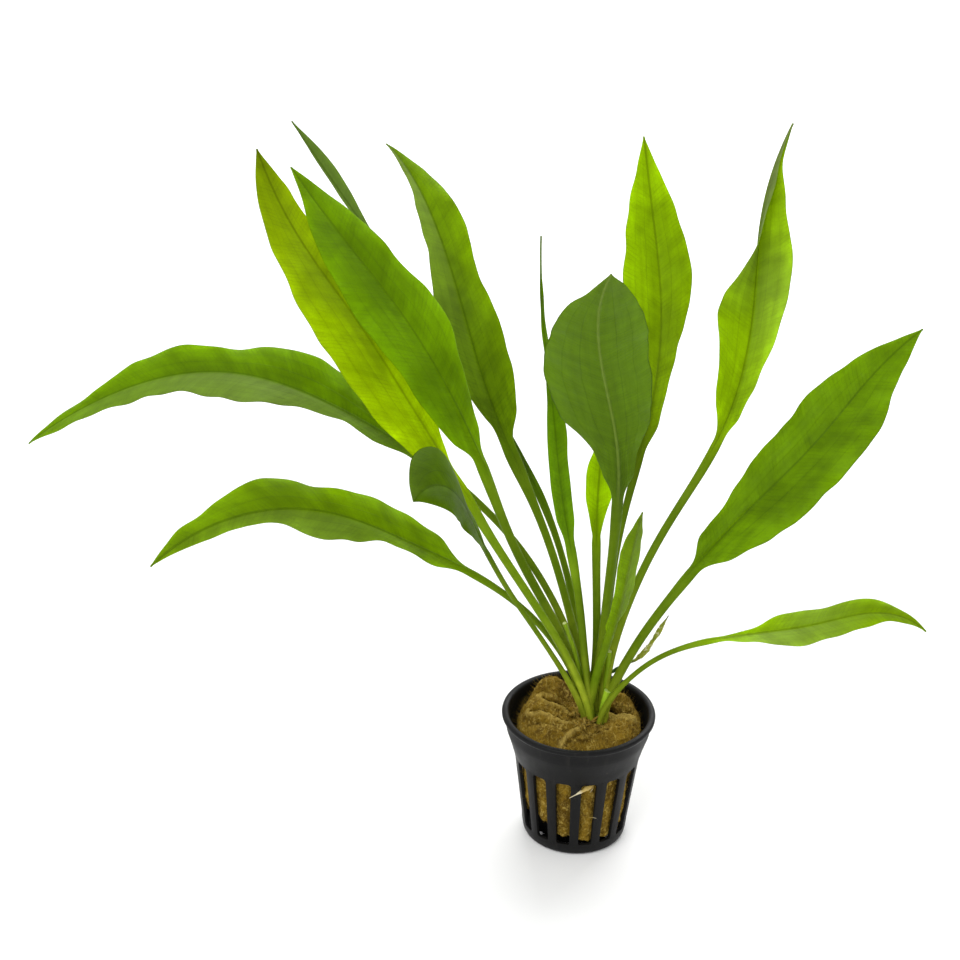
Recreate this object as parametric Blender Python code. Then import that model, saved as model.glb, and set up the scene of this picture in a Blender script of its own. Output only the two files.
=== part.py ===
"""Potted amazon sword plant: a rosette of long lance-shaped leaves growing from a
short crown set in a plug of mineral wool, held in a slotted black net pot.

Origin: centre of the underside of the pot. +Z is up. Lengths are in millimetres
and angles in degrees in the tables below, and everything is built in metres.
"""
import math

import bmesh
import bpy
from mathutils import Vector

MM = 0.001

# ---------------------------------------------------------------- net pot
SLOTS = 15  # upright slots round the wall
SLOT_TURN = 10.0  # heading of one slot's middle, from the -Y side towards +X
SLOT_SHARE = 0.6  # share of the circle that the slots take
COLUMNS = 4  # faces round the wall for each slot and its rib
# (outer radius, height), (inner radius, height), from the rim down to the base
POT_SECTION = [
    ((26.9, 50.0), (25.3, 50.0)),
    ((27.5, 49.5), (25.0, 49.6)),
    ((27.5, 48.3), (24.9, 48.4)),
    ((26.1, 47.6), (24.8, 47.2)),
    ((25.7, 43.0), (24.5, 43.2)),
    ((23.6, 36.6), (22.4, 37.0)),
    ((22.7, 33.0), (21.6, 33.2)),
    ((20.5, 14.0), (19.4, 14.0)),
    ((19.1, 4.7), (18.0, 4.9)),
    ((18.2, 0.8), (16.9, 2.2)),
    ((17.6, 0.0), (16.0, 1.3)),
    ((15.4, 0.0), (15.4, 1.2)),
    ((7.0, 0.0), (7.0, 1.2)),
]
WALL_SLOT = (6, 8)  # the slots run between these stations
BASE_SLOT = (11, 12)  # and go on across the base between these

# ------------------------------------------------------------ mineral wool
# radius and height of the side, from the underside up; it stays about 0.5 inside the pot's wall
WOOL_SIDE = [
    (16.2, 1.9), (17.3, 5.2), (18.9, 14.0), (20.9, 32.0), (21.4, 36.5), (22.0, 41.0), (21.7, 44.0)
]
WOOL_SHOULDER = 19.4  # radius where the side has turned into the top
WOOL_LEVEL = 46.0  # height of the top away from the lumps
# lumps of the top: x, y, spread, height
WOOL_LUMPS = [
    (-9.5, 13.0, 7.5, 4.6),
    (-11.0, -2.0, 7.0, 2.2),
    (13.5, 13.0, 5.0, 3.0),
    (14.0, -9.0, 6.0, 1.6),
    (-1.0, -14.0, 5.5, 1.4),
]
WOOL_RAYS = 36

# ------------------------------------------------------------------- crown
CROWN_AT = (5.4, 1.4)  # middle of the crown
CROWN_HALF = (6.9, 9.0)  # half its width and half its depth
CROWN_FOOT, CROWN_TOP = 39.6, 46.1
SOCKET_GAP = 0.5  # clear space round the crown in the wool
SOCKET_FOOT = 39.0
STALK_FOOT = 46.8  # height at which the leaf stalks leave the crown

# ------------------------------------------------------------------ leaves
BLADE_THICK = 0.8
# at: where the stalk stands; stalk, blade: lengths; girth: half the stalk's
# thickness; rise, turn: direction of the midrib above the ground and round the
# plant, at six even steps from base to tip; roll: how far the blade is turned
# about its midrib at its base, middle and tip; left, right: half widths at the
# tenths of the blade; left_fold, right_fold: how far each half is lifted, at
# the blade's base, thirds and tip
LEAVES = {
    "leaf_long_left": dict(
        at=(0.3, 5.5), stalk=114, blade=156, girth=1.2,
        rise=(88, 57, 30, 18, -18, -39), turn=(157, 162, 162, 167, 177, 185), roll=(-18, -24, -17),
        left=(4, 5, 8, 13, 12, 10, 8, 7.5, 4.5), right=(6.5, 12, 15, 14, 10, 12.5, 10.5, 5, 3.5),
        left_fold=(-5, 0, 7, 4), right_fold=(5, 7, 7, 5),
    ),
    "leaf_low_left": dict(
        at=(0.9, 0.4), stalk=74, blade=122, girth=1.1,
        rise=(85, 53, 32, 27, -4, -37), turn=(177, 184, 186, 190, 199, 208), roll=(-20, -22, -13),
        left=(4, 5, 5, 9, 10, 5, 4, 4, 2.5), right=(7.5, 10, 12.5, 11, 10, 13, 11, 7, 4),
        left_fold=(0, 0, -45, -40), right_fold=(6, 6, 7, 5),
    ),
    "leaf_light_left": dict(
        at=(4.4, -4.6), stalk=100, blade=141, girth=1.4,
        rise=(77, 58, 54, 47, 38, 57), turn=(182, 172, 155, 142, 138, 130), roll=(-14, -18, -14),
        left=(8, 12.5, 16, 16.5, 16.5, 16, 12.5, 10, 6.5),
        right=(2.5, 6.5, 12, 15, 16, 14.5, 10.5, 6, 4.5),
        left_fold=(7, 6, 7, 8), right_fold=(8, 8, 8, 8),
    ),
    "leaf_broad_left": dict(
        at=(1.6, 2.6), stalk=102, blade=123, girth=1.5,
        rise=(84, 61, 68, 60, 45, 47), turn=(173, 169, 163, 160, 154, 149), roll=(-21, -20, -14),
        left=(8, 12, 14, 16, 17, 15.5, 14, 10.5, 4.5), right=(5, 8, 10.5, 14.5, 15, 12, 11.5, 9.5, 5.5),
        left_fold=(4, 4, 4, 5), right_fold=(5, 4, 4, 5),
    ),
    "leaf_edge_on_left": dict(
        at=(2.9, 8.4), stalk=78, blade=164, girth=1.1,
        rise=(74, 60, 47, 43, 43, 44), turn=(107, 122, 138, 144, 144, 143), roll=(-45, -54, -60),
        left=(3.5, 5.5, 6.5, 7, 6.5, 5, 3, 2, 1), right=(3.5, 5.5, 6.5, 7, 6.5, 4, 2.5, 2, 1.5),
        left_fold=(10, 10, 10, 10), right_fold=(10, 10, 10, 10),
    ),
    "leaf_upright_left": dict(
        at=(4.6, 3.2), stalk=98, blade=134, girth=1.4,
        rise=(75, 65, 49, 51, 38, 12), turn=(139, 132, 131, 117, 116, 123), roll=(-13, -11, -7),
        left=(3.5, 8, 11, 11, 9, 6, 5.5, 3, 1.5), right=(7.5, 11, 11.5, 11, 9, 10, 10, 7.5, 3.5),
        left_fold=(8, 8, 8, 8), right_fold=(8, 8, 8, 8),
    ),
    "leaf_small_curled": dict(
        at=(1.8, -2.4), stalk=84, blade=52, girth=0.9,
        rise=(72, 63, 59, 64, 59, -25), turn=(200, 200, 199, 200, 213, 242), roll=(-17, -35, -35),
        left=(5, 8, 10.5, 12.5, 13, 13.5, 13.5, 12, 7), right=(4.5, 7, 9.5, 11.5, 13, 14, 13, 7, 2),
        left_fold=(7, 6, 2, 4), right_fold=(6, -12, 3, 2),
    ),
    "leaf_narrow": dict(
        at=(4.8, -1.8), stalk=68, blade=111, girth=1.3,
        rise=(81, 83, 77, 79, 69, 66), turn=(177, 165, 149, 128, 112, 89), roll=(-56, -67, -76),
        left=(3, 3.5, 3.5, 3, 2.5, 2.5, 3, 2.5, 1.5), right=(3, 3.5, 4, 5, 5, 4.5, 4, 3, 1.5),
        left_fold=(10, 10, 10, 10), right_fold=(10, 10, 10, 10),
    ),
    "leaf_front": dict(
        at=(7.4, 3.2), stalk=91, blade=136, girth=1.5,
        rise=(93, 82, 74, 61, 53, 46), turn=(300, 288, 270, 249, 261, 284), roll=(6, 8, 1),
        left=(4.5, 6.5, 11, 13.5, 15, 15, 15.5, 13, 8), right=(5, 8.5, 16, 19, 19.5, 17.5, 14.5, 11, 4.5),
        left_fold=(5, 5, 5, 6), right_fold=(5, 1, 6, 5),
    ),
    "leaf_upright_right": dict(
        at=(8.0, 5.9), stalk=95, blade=117, girth=1.1,
        rise=(86, 83, 64, 51, 56, 65), turn=(66, 62, 58, 79, 102, 108), roll=(-1, -2, -1),
        left=(4, 6.5, 9, 11, 13, 13, 11.5, 8.5, 4.5), right=(4, 4, 5.5, 7.5, 10.5, 11.5, 10, 7.5, 4),
        left_fold=(8, 8, 8, 8), right_fold=(8, 8, 8, 8),
    ),
    "leaf_twisted_right": dict(
        at=(10.7, 1.6), stalk=108, blade=119, girth=1.3,
        rise=(97, 65, 50, 78, 90, 51), turn=(43, 41, 36, 34, 40, 45), roll=(15, 16, 13),
        left=(5.5, 8.5, 11, 12, 11, 8, 6, 4.5, 2.5), right=(2, 4.5, 7.5, 11.5, 13.5, 14, 11.5, 7, 2),
        left_fold=(15, 10, 115, 80), right_fold=(8, 8, 7, 8),
    ),
    "leaf_broad_right": dict(
        at=(10.0, -2.6), stalk=63, blade=120, girth=1.5,
        rise=(85, 56, 45, 39, 43, 29), turn=(21, 22, 25, 26, 32, 27), roll=(26, 27, 23),
        left=(6.5, 7.5, 10, 12.5, 12.5, 13.5, 12, 9, 4.5),
        right=(9, 13.5, 15.5, 16.5, 16, 16, 14.5, 10, 5.5),
        left_fold=(5, 4, 5, 5), right_fold=(4, 4, 4, 5),
    ),
    "leaf_low_right": dict(
        at=(7.8, -5.2), stalk=55, blade=78, girth=0.9,
        rise=(79, 48, 21, 14, 15, -40), turn=(-4, -6, -9, -6, -1, -9), roll=(17, 19, 18),
        left=(1.5, 2.5, 5.5, 7, 6.5, 6, 6.5, 5, 2.5), right=(1.5, 4, 6.5, 8.5, 8.5, 8, 6.5, 4, 2.5),
        left_fold=(6, 6, 6, 6), right_fold=(6, 5, 6, 6),
    ),
    "leaf_young_rear": dict(
        at=(5.5, 6.4), stalk=65, blade=39, girth=1.3,
        rise=(95, 88, 78, 72, 69, 67), turn=(106, 103, 101, 95, 83, 72), roll=(0, 0, 0),
        left=(2.5, 3.5, 4, 4.5, 4.5, 4.5, 4, 3, 2), right=(2.5, 4, 4.5, 5, 5, 4.5, 4, 3, 1.5),
        left_fold=(8, 8, 8, 8), right_fold=(8, 8, 8, 8),
    ),
    "leaf_young_front": dict(
        at=(6.4, -0.2), stalk=39, blade=68, girth=1.6,
        rise=(97, 82, 69, 70, 69, 63), turn=(312, 305, 295, 289, 289, 291), roll=(16, 13, 14),
        left=(3, 5, 5, 4.5, 4, 4, 3.5, 3, 1.5), right=(2, 2, 2, 2.5, 3, 3.5, 4, 3.5, 2),
        left_fold=(12, 11, 12, 12), right_fold=(12, 12, 12, 12),
    ),
}
STALK_FOOT_HALF = 1.0  # half thickness of every stalk where it leaves the crown
STALK_RINGS, BLADE_RINGS = 7, 15
LEAF_GREENS = {
    "leaf_long_left": (0.10, 0.26, 0.02),
    "leaf_light_left": (0.30, 0.47, 0.02),
    "leaf_upright_right": (0.28, 0.47, 0.02),
    "leaf_twisted_right": (0.24, 0.43, 0.02),
    "leaf_young_rear": (0.33, 0.50, 0.02),
    "leaf_young_front": (0.27, 0.46, 0.02),
    "leaf_low_right": (0.18, 0.36, 0.02),
    "leaf_front": (0.13, 0.27, 0.04),
}
LEAF_GREEN = (0.11, 0.28, 0.015)

# ------------------------------------------- cut stalks, dry stalk and root
# at: foot; length; half thickness at the foot and at the end; rise and turn as above
STALKS = {
    "cut_stalk_left": dict(
        at=(3.1, 0.6), length=40, half=(0.9, 0.9), rise=(86, 80, 74, 69), turn=(178, 180, 182, 184)
    ),
    "cut_stalk_right": dict(
        at=(9.6, 4.2), length=25, half=(0.9, 0.9), rise=(90, 89, 88, 86), turn=(60, 60, 60, 60)
    ),
    "cut_stalk_front": dict(
        at=(6.9, -2.6), length=13, half=(1.0, 1.3), rise=(81, 80, 78, 76), turn=(10, 10, 10, 10)
    ),
    "dry_stalk": dict(
        at=(10.4, 6.6), length=44, half=(0.8, 0.6), rise=(96, 62, 43, 66), turn=(18, 10, 10, 16)
    ),
}
ROOT = dict(
    at=(4.6, -21.2, 31.0), length=9, half=(0.6, 0.35),
    rise=(10, -7, -23, -35), turn=(-114, -140, -162, -180),
)


def clear_scene():
    for thing in list(bpy.data.objects):
        bpy.data.objects.remove(thing, do_unlink=True)


def finish(name):
    """Plain finish of one piece."""
    if name == "net_pot":
        colour, rough = (0.016, 0.016, 0.017), 0.45
    elif name == "rock_wool_plug":
        colour, rough = (0.23, 0.15, 0.04), 0.95
    elif name == "crown":
        colour, rough = (0.30, 0.33, 0.08), 0.7
    elif name == "root_tip":
        colour, rough = (0.62, 0.50, 0.26), 0.6
    elif name == "dry_stalk":
        colour, rough = (0.25, 0.28, 0.06), 0.7
    elif name.startswith("cut_stalk"):
        colour, rough = (0.28, 0.42, 0.05), 0.5
    else:
        colour, rough = LEAF_GREENS.get(name, LEAF_GREEN), 0.42
    material = bpy.data.materials.new(name + "_finish")
    material.use_nodes = True
    shader = next(n for n in material.node_tree.nodes if n.type == "BSDF_PRINCIPLED")
    shader.inputs["Base Color"].default_value = (*colour, 1.0)
    shader.inputs["Roughness"].default_value = rough
    shader.inputs["Metallic"].default_value = 0.0
    return material


def add_piece(name, points, faces):
    """One closed solid from points in millimetres."""
    mesh = bpy.data.meshes.new(name)
    mesh.from_pydata([Vector(p) * MM for p in points], [], faces)
    work = bmesh.new()
    work.from_mesh(mesh)
    bmesh.ops.recalc_face_normals(work, faces=work.faces)
    if work.calc_volume(signed=True) < 0:
        bmesh.ops.reverse_faces(work, faces=work.faces)
    work.to_mesh(mesh)
    work.free()
    mesh.materials.append(finish(name))
    piece = bpy.data.objects.new(name, mesh)
    bpy.context.scene.collection.objects.link(piece)
    return piece


def smooth(values, where):
    """A smooth curve through evenly spaced values, for where from 0 to 1."""
    last = len(values) - 1
    place = min(max(where, 0.0), 1.0) * last
    step = min(int(place), last - 1)
    t = place - step
    padded = [2 * values[0] - values[1], *values, 2 * values[-1] - values[-2]]
    a, b, c, d = padded[step : step + 4]
    return b + 0.5 * t * (c - a + t * (2 * a - 5 * b + 4 * c - d + t * (3 * (b - c) + d - a)))


def heading(rise, turn):
    up, way = math.radians(rise), math.radians(turn)
    return Vector((math.cos(up) * math.cos(way), math.cos(up) * math.sin(way), math.sin(up)))


def follow(start, length, rise, turn, places, steps=96):
    """The frame (point, along, left, up) at each of places, 0 to 1 of a bent stem."""
    path = [Vector(start)]
    for i in range(steps):
        where = (i + 0.5) / steps
        path.append(path[-1] + heading(smooth(rise, where), smooth(turn, where)) * length / steps)
    frames = []
    for place in places:
        at = min(place * steps, steps - 1e-6)
        i = int(at)
        point = path[i].lerp(path[i + 1], at - i)
        way = math.radians(smooth(turn, place))
        along = heading(smooth(rise, place), smooth(turn, place))
        left = Vector((-math.sin(way), math.cos(way), 0.0))
        frames.append((point, along, left, along.cross(left)))
    return frames


def loft(rings):
    """Points and faces of the skin over rings of equal length, closed at both ends.

    The first half of a ring is split along the mirror image of the second half's
    diagonals, so that the two skins of a thin twisted blade stay parallel.
    """
    size = len(rings[0])
    points = [p for ring in rings for p in ring]
    faces = []
    for k in range(len(rings) - 1):
        for i in range(size):
            j = (i + 1) % size
            a, b = k * size, (k + 1) * size
            if i < size / 2:
                faces += [(a + i, a + j, b + j), (a + i, b + j, b + i)]
            else:
                faces += [(a + i, a + j, b + i), (a + j, b + j, b + i)]
    faces.append(tuple(reversed(range(size))))
    faces.append(tuple(range(len(points) - size, len(points))))
    return points, faces


def round_ring(frame, half, sides=8):
    point, _, left, up = frame
    angles = [2 * math.pi * i / sides for i in range(sides)]
    return [point + (left * math.cos(a) + up * math.sin(a)) * half for a in angles]


def blade_ring(frame, leaf, v, girth):
    """Eight points round the blade at v, 0 at its base and 1 at its tip."""
    point, _, left, up = frame
    roll = math.radians(smooth(leaf["roll"], v))
    side = left * math.cos(roll) + up * math.sin(roll)
    face = up * math.cos(roll) - left * math.sin(roll)
    half = BLADE_THICK / 2 * (1 - 0.45 * v)
    rib = max(half * 1.2, girth * (1 - v) ** 1.6)
    folds = {hand: math.radians(smooth(leaf[hand + "_fold"], v)) for hand in ("left", "right")}
    tilt = (folds["left"] - folds["right"]) / 2
    crease = face * math.cos(tilt) - side * math.sin(tilt)
    halves = []
    for hand, way in (("left", 1), ("right", -1)):
        wide = max(smooth((girth, *leaf[hand], 0.5), v), 0.5)
        fold = folds[hand]
        out = side * (way * math.cos(fold)) + face * math.sin(fold)
        over = face * math.cos(fold) - side * (way * math.sin(fold))
        skin = max(half, rib * (1 - min(1.0, wide / girth / 3)))
        halves.append((out * wide, out * wide * 0.5, over * skin))
    (edge_l, mid_l, thick_l), (edge_r, mid_r, thick_r) = halves
    return [
        point + edge_l,
        point + mid_l + thick_l,
        point + crease * half,
        point + mid_r + thick_r,
        point + edge_r,
        point + mid_r - thick_r,
        point - crease * rib,
        point + mid_l - thick_l,
    ]


def make_leaf(name, leaf):
    length = leaf["stalk"] + leaf["blade"]
    junction = leaf["stalk"] / length
    stalk_places = [junction * (i / STALK_RINGS) for i in range(STALK_RINGS)]
    blade_places = [(i / BLADE_RINGS) ** 0.95 for i in range(1, BLADE_RINGS + 1)]
    places = stalk_places + [junction + (1 - junction) * v for v in blade_places]
    start = (*leaf["at"], STALK_FOOT)
    rings = []
    for place, frame in zip(places, follow(start, length, leaf["rise"], leaf["turn"], places)):
        if place < junction:
            u = place / junction
            half = STALK_FOOT_HALF + (leaf["girth"] - STALK_FOOT_HALF) * min(1.0, u * 2.5)
            rings.append(round_ring(frame, half))
        else:
            rings.append(blade_ring(frame, leaf, (place - junction) / (1 - junction), leaf["girth"]))
    add_piece(name, *loft(rings))


def make_stalk(name, start, stalk, rings=9, sides=8):
    places = [i / (rings - 1) for i in range(rings)]
    frames = follow(start, stalk["length"], stalk["rise"], stalk["turn"], places)
    first, last = stalk["half"]
    skins = [round_ring(f, first + (last - first) * u, sides) for u, f in zip(places, frames)]
    add_piece(name, *loft(skins))


def make_pot():
    """The pot's shell as one skin, its faces left out where a slot goes through."""
    columns = SLOTS * COLUMNS
    rows = len(POT_SECTION)
    pitch = 360.0 / SLOTS
    slot = pitch * SLOT_SHARE
    edges = (-slot / 2, 0.0, slot / 2, pitch / 2)
    angles = [
        math.radians(SLOT_TURN - 90.0 + k * pitch + edge) for k in range(SLOTS) for edge in edges
    ]
    points = []
    for side in (0, 1):
        for row in POT_SECTION:
            radius, height = row[side]
            points += [(radius * math.cos(a), radius * math.sin(a), height) for a in angles]
    points += [(0.0, 0.0, 0.0), (0.0, 0.0, POT_SECTION[-1][1][1])]

    def spot(side, row, column):
        return (side * rows + row) * columns + column % columns

    def is_open(row, column):
        cut = WALL_SLOT[0] <= row < WALL_SLOT[1] or BASE_SLOT[0] <= row < BASE_SLOT[1]
        return cut and column % COLUMNS < 2

    def across(row, column, row_2, column_2):
        """The face through the wall between two neighbouring spots."""
        a, b = spot(0, row, column), spot(0, row_2, column_2)
        return a, b, spot(1, row_2, column_2), spot(1, row, column)

    faces = []
    for row in range(rows - 1):
        for c in range(columns):
            if is_open(row, c):
                continue
            for side in (0, 1):
                quad = (
                    spot(side, row, c),
                    spot(side, row, c + 1),
                    spot(side, row + 1, c + 1),
                    spot(side, row + 1, c),
                )
                faces.append(quad if side else quad[::-1])
            if is_open(row, c - 1):
                faces.append(across(row, c, row + 1, c))
            if is_open(row, c + 1):
                faces.append(across(row, c + 1, row + 1, c + 1))
    for row in (*WALL_SLOT, *BASE_SLOT):
        for c in range(columns):
            if is_open(row, c) != is_open(row - 1, c):
                faces.append(across(row, c, row, c + 1))
    low, high = len(points) - 2, len(points) - 1
    for c in range(columns):
        faces.append(across(0, c, 0, c + 1))
        faces.append((spot(0, rows - 1, c), spot(0, rows - 1, c + 1), low))
        faces.append((spot(1, rows - 1, c + 1), spot(1, rows - 1, c), high))
    add_piece("net_pot", points, faces)


def oval(half, angle, at=(0.0, 0.0)):
    return at[0] + half[0] * math.cos(angle), at[1] + half[1] * math.sin(angle)


def wool_height(x, y):
    lumps = sum(h * math.exp(-((x - a) ** 2 + (y - b) ** 2) / (2 * s * s)) for a, b, s, h in WOOL_LUMPS)
    return WOOL_LEVEL + lumps


def make_wool():
    """The plug: rings from the socket's floor up, over the top and down the side."""
    angles = [2 * math.pi * i / WOOL_RAYS for i in range(WOOL_RAYS)]
    socket = [CROWN_HALF[0] + SOCKET_GAP, CROWN_HALF[1] + SOCKET_GAP]
    inner = [oval(socket, a, CROWN_AT) for a in angles]
    rings = [[(x, y, SOCKET_FOOT) for x, y in inner]]
    lip = [(x, y, wool_height(x, y) - 0.6) for x, y in inner]
    rings.append(lip)
    outer = [(WOOL_SHOULDER * math.cos(a), WOOL_SHOULDER * math.sin(a)) for a in angles]
    for share in (0.12, 0.35, 0.6, 0.82, 1.0):
        ring = []
        for (x0, y0), (x1, y1) in zip(inner, outer):
            x, y = x0 + (x1 - x0) * share, y0 + (y1 - y0) * share
            ring.append((x, y, wool_height(x, y) - (0.9 if share == 1.0 else 0.0)))
        rings.append(ring)
    for radius, height in reversed(WOOL_SIDE):
        rings.append([(radius * math.cos(a), radius * math.sin(a), height) for a in angles])
    add_piece("rock_wool_plug", *loft(rings))


def make_crown():
    angles = [2 * math.pi * i / 24 for i in range(24)]
    rings = []
    for share, height in ((0.55, CROWN_FOOT), (0.9, CROWN_FOOT + 2.0), (1.0, 44.5), (0.93, CROWN_TOP)):
        half = (CROWN_HALF[0] * share, CROWN_HALF[1] * share)
        rings.append([(*oval(half, a, CROWN_AT), height) for a in angles])
    add_piece("crown", *loft(rings))


clear_scene()
make_pot()
make_wool()
make_crown()
for name, leaf in LEAVES.items():
    make_leaf(name, leaf)
for name, stalk in STALKS.items():
    make_stalk(name, (*stalk["at"], STALK_FOOT), stalk)
make_stalk("root_tip", ROOT["at"], ROOT, rings=8, sides=6)
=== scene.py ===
# Potted amazon sword plant: a rosette of long leaves in mineral wool, in a slotted net pot.
import math
import random

import bmesh
import bpy
import numpy as np
from mathutils import Matrix, Vector, noise


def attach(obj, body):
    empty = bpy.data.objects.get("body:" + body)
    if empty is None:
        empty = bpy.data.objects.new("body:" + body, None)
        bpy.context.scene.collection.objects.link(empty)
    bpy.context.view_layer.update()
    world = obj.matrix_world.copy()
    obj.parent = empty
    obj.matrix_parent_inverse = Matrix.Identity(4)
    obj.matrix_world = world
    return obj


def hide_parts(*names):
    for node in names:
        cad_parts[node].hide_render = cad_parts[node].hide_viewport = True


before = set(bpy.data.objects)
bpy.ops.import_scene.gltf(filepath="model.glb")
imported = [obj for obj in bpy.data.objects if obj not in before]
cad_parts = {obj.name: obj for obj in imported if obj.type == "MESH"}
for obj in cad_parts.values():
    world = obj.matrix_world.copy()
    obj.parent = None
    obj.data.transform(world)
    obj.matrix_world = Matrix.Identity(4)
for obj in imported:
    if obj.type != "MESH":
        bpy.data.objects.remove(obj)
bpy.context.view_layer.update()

mm = 0.001  # the tables below are in millimetres and degrees
print("frame loaded")


# small helpers

def addNode(tree, kind, feeds=None, **settings):
    made = tree.nodes.new(kind)
    for key, value in settings.items():
        setattr(made, key, value)
    for key, value in (feeds or {}).items():
        if isinstance(value, bpy.types.NodeSocket):
            tree.links.new(value, made.inputs[key])
        else:
            made.inputs[key].default_value = value
    return made


def calc(tree, operation, *values):
    return addNode(tree, "ShaderNodeMath", dict(enumerate(values)), operation=operation).outputs[0]


def times(tree, first, second):
    return calc(tree, "MULTIPLY", first, second)


def attributeOf(tree, name, output="Fac"):
    return addNode(tree, "ShaderNodeAttribute", attribute_name=name).outputs[output]


def partsOf(tree, vector):
    return addNode(tree, "ShaderNodeSeparateXYZ", {0: vector}).outputs


def ramp(tree, value, low, high, start=0.0, end=1.0):
    feeds = {"Value": value, "From Min": low, "From Max": high, "To Min": start, "To Max": end}
    return addNode(tree, "ShaderNodeMapRange", feeds, interpolation_type="SMOOTHSTEP").outputs["Result"]


def blendColours(tree, share, first, second, how="MIX"):
    made = addNode(tree, "ShaderNodeMix", data_type="RGBA", blend_type=how)
    for socket, value in ((made.inputs[0], share), (made.inputs[6], first), (made.inputs[7], second)):
        if isinstance(value, bpy.types.NodeSocket):
            tree.links.new(value, socket)
        else:
            socket.default_value = value if isinstance(value, float) else (*value, 1.0)
    return made.outputs[2]


def shaded(colour, level):
    return [part * level for part in colour]


def layColours(tree, base, layers):  # each layer: where it shows, how strongly, and its colour
    for where, strength, colour in layers:
        base = blendColours(tree, times(tree, where, strength), base, colour)
    return base


def noiseAt(tree, where, scale, detail=3.0, roughness=0.55, distortion=0.0):
    feeds = {"Vector": where, "Scale": scale, "Detail": detail, "Roughness": roughness,
             "Distortion": distortion}
    return addNode(tree, "ShaderNodeTexNoise", feeds).outputs["Fac"]


def newMaterial(name):
    made = bpy.data.materials.new(name)
    made.use_nodes = True
    tree = made.node_tree
    tree.nodes.clear()
    out = addNode(tree, "ShaderNodeOutputMaterial")
    body = addNode(tree, "ShaderNodeBsdfPrincipled")
    tree.links.new(body.outputs[0], out.inputs["Surface"])
    spot = addNode(tree, "ShaderNodeTexCoord").outputs["Object"]
    return made, tree, body, spot


def addBump(tree, body, height, strength, distance):
    made = addNode(tree, "ShaderNodeBump", {"Height": height, "Strength": strength, "Distance": distance})
    tree.links.new(made.outputs[0], body.inputs["Normal"])


def addPiece(name, mesh, replaced):
    piece = bpy.data.objects.new(name, mesh)
    bpy.context.scene.collection.objects.link(piece)
    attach(piece, "root")
    if replaced:
        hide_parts(*replaced)
    return piece


def newPiece(name, points, faces, material, replaced):
    mesh = bpy.data.meshes.new(name)
    mesh.from_pydata((np.asarray(points, float) * mm).tolist(), [], faces)
    mesh.materials.append(material)
    mesh.shade_smooth()
    return addPiece(name, mesh, replaced)


def addAttribute(piece, name, values):  # one number, or one vector, for each point
    values = np.asarray(values, np.float32)
    kind, field = ("FLOAT", "value") if values.ndim == 1 else ("FLOAT_VECTOR", "vector")
    piece.data.attributes.new(name, kind, "POINT").data.foreach_set(field, values.ravel())


def curveThrough(values, where):  # smooth curve through evenly spaced values, where from 0 to 1
    v = np.asarray(values, float)
    last = len(v) - 1
    place = np.clip(np.asarray(where, float), 0.0, 1.0) * last
    step = np.minimum(place.astype(int), last - 1)
    t = place - step
    padded = np.concatenate([[2 * v[0] - v[1]], v, [2 * v[-1] - v[-2]]])
    a, b, c, d = (padded[step + k] for k in range(4))
    return b + 0.5 * t * (c - a + t * (2 * a - 5 * b + 4 * c - d + t * (3 * (b - c) + d - a)))


def easeStep(value):
    value = np.clip(value, 0.0, 1.0)
    return value * value * (3 - 2 * value)


def ringFaces(rings, size):  # quads between closed rings, then a fan to each end's own point
    faces = []
    for k in range(rings - 1):
        a, b = k * size, (k + 1) * size
        for i in range(size):
            j = (i + 1) % size
            faces.append((a + i, b + i, b + j, a + j))
    first, last = rings * size, rings * size + 1
    top = (rings - 1) * size
    for i in range(size):
        j = (i + 1) % size
        faces.append((first, i, j))
        faces.append((last, top + j, top + i))
    return faces


# camera, lights and floor

studio = dict(
    lens=90.0, sensor=36.0, pitch=27.55, roll=1.215, distance=858.5, aim=(0.0, 0.0, 50.0),
    right=-35.3, up=82.3, floorSize=6.0, floorLow=-0.0001, floorTone=(0.90, 0.90, 0.90), sky=0.80,
    # lamps: name, width, power and place; all of them point at lampAim
    lamps=(("keyLight", 0.9, 9.0, (-0.55, -0.75, 1.15)), ("backLight", 1.2, 16.0, (0.25, 0.95, 1.05))),
    lampAim=(0.0, 0.0, 0.12),
)


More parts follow.
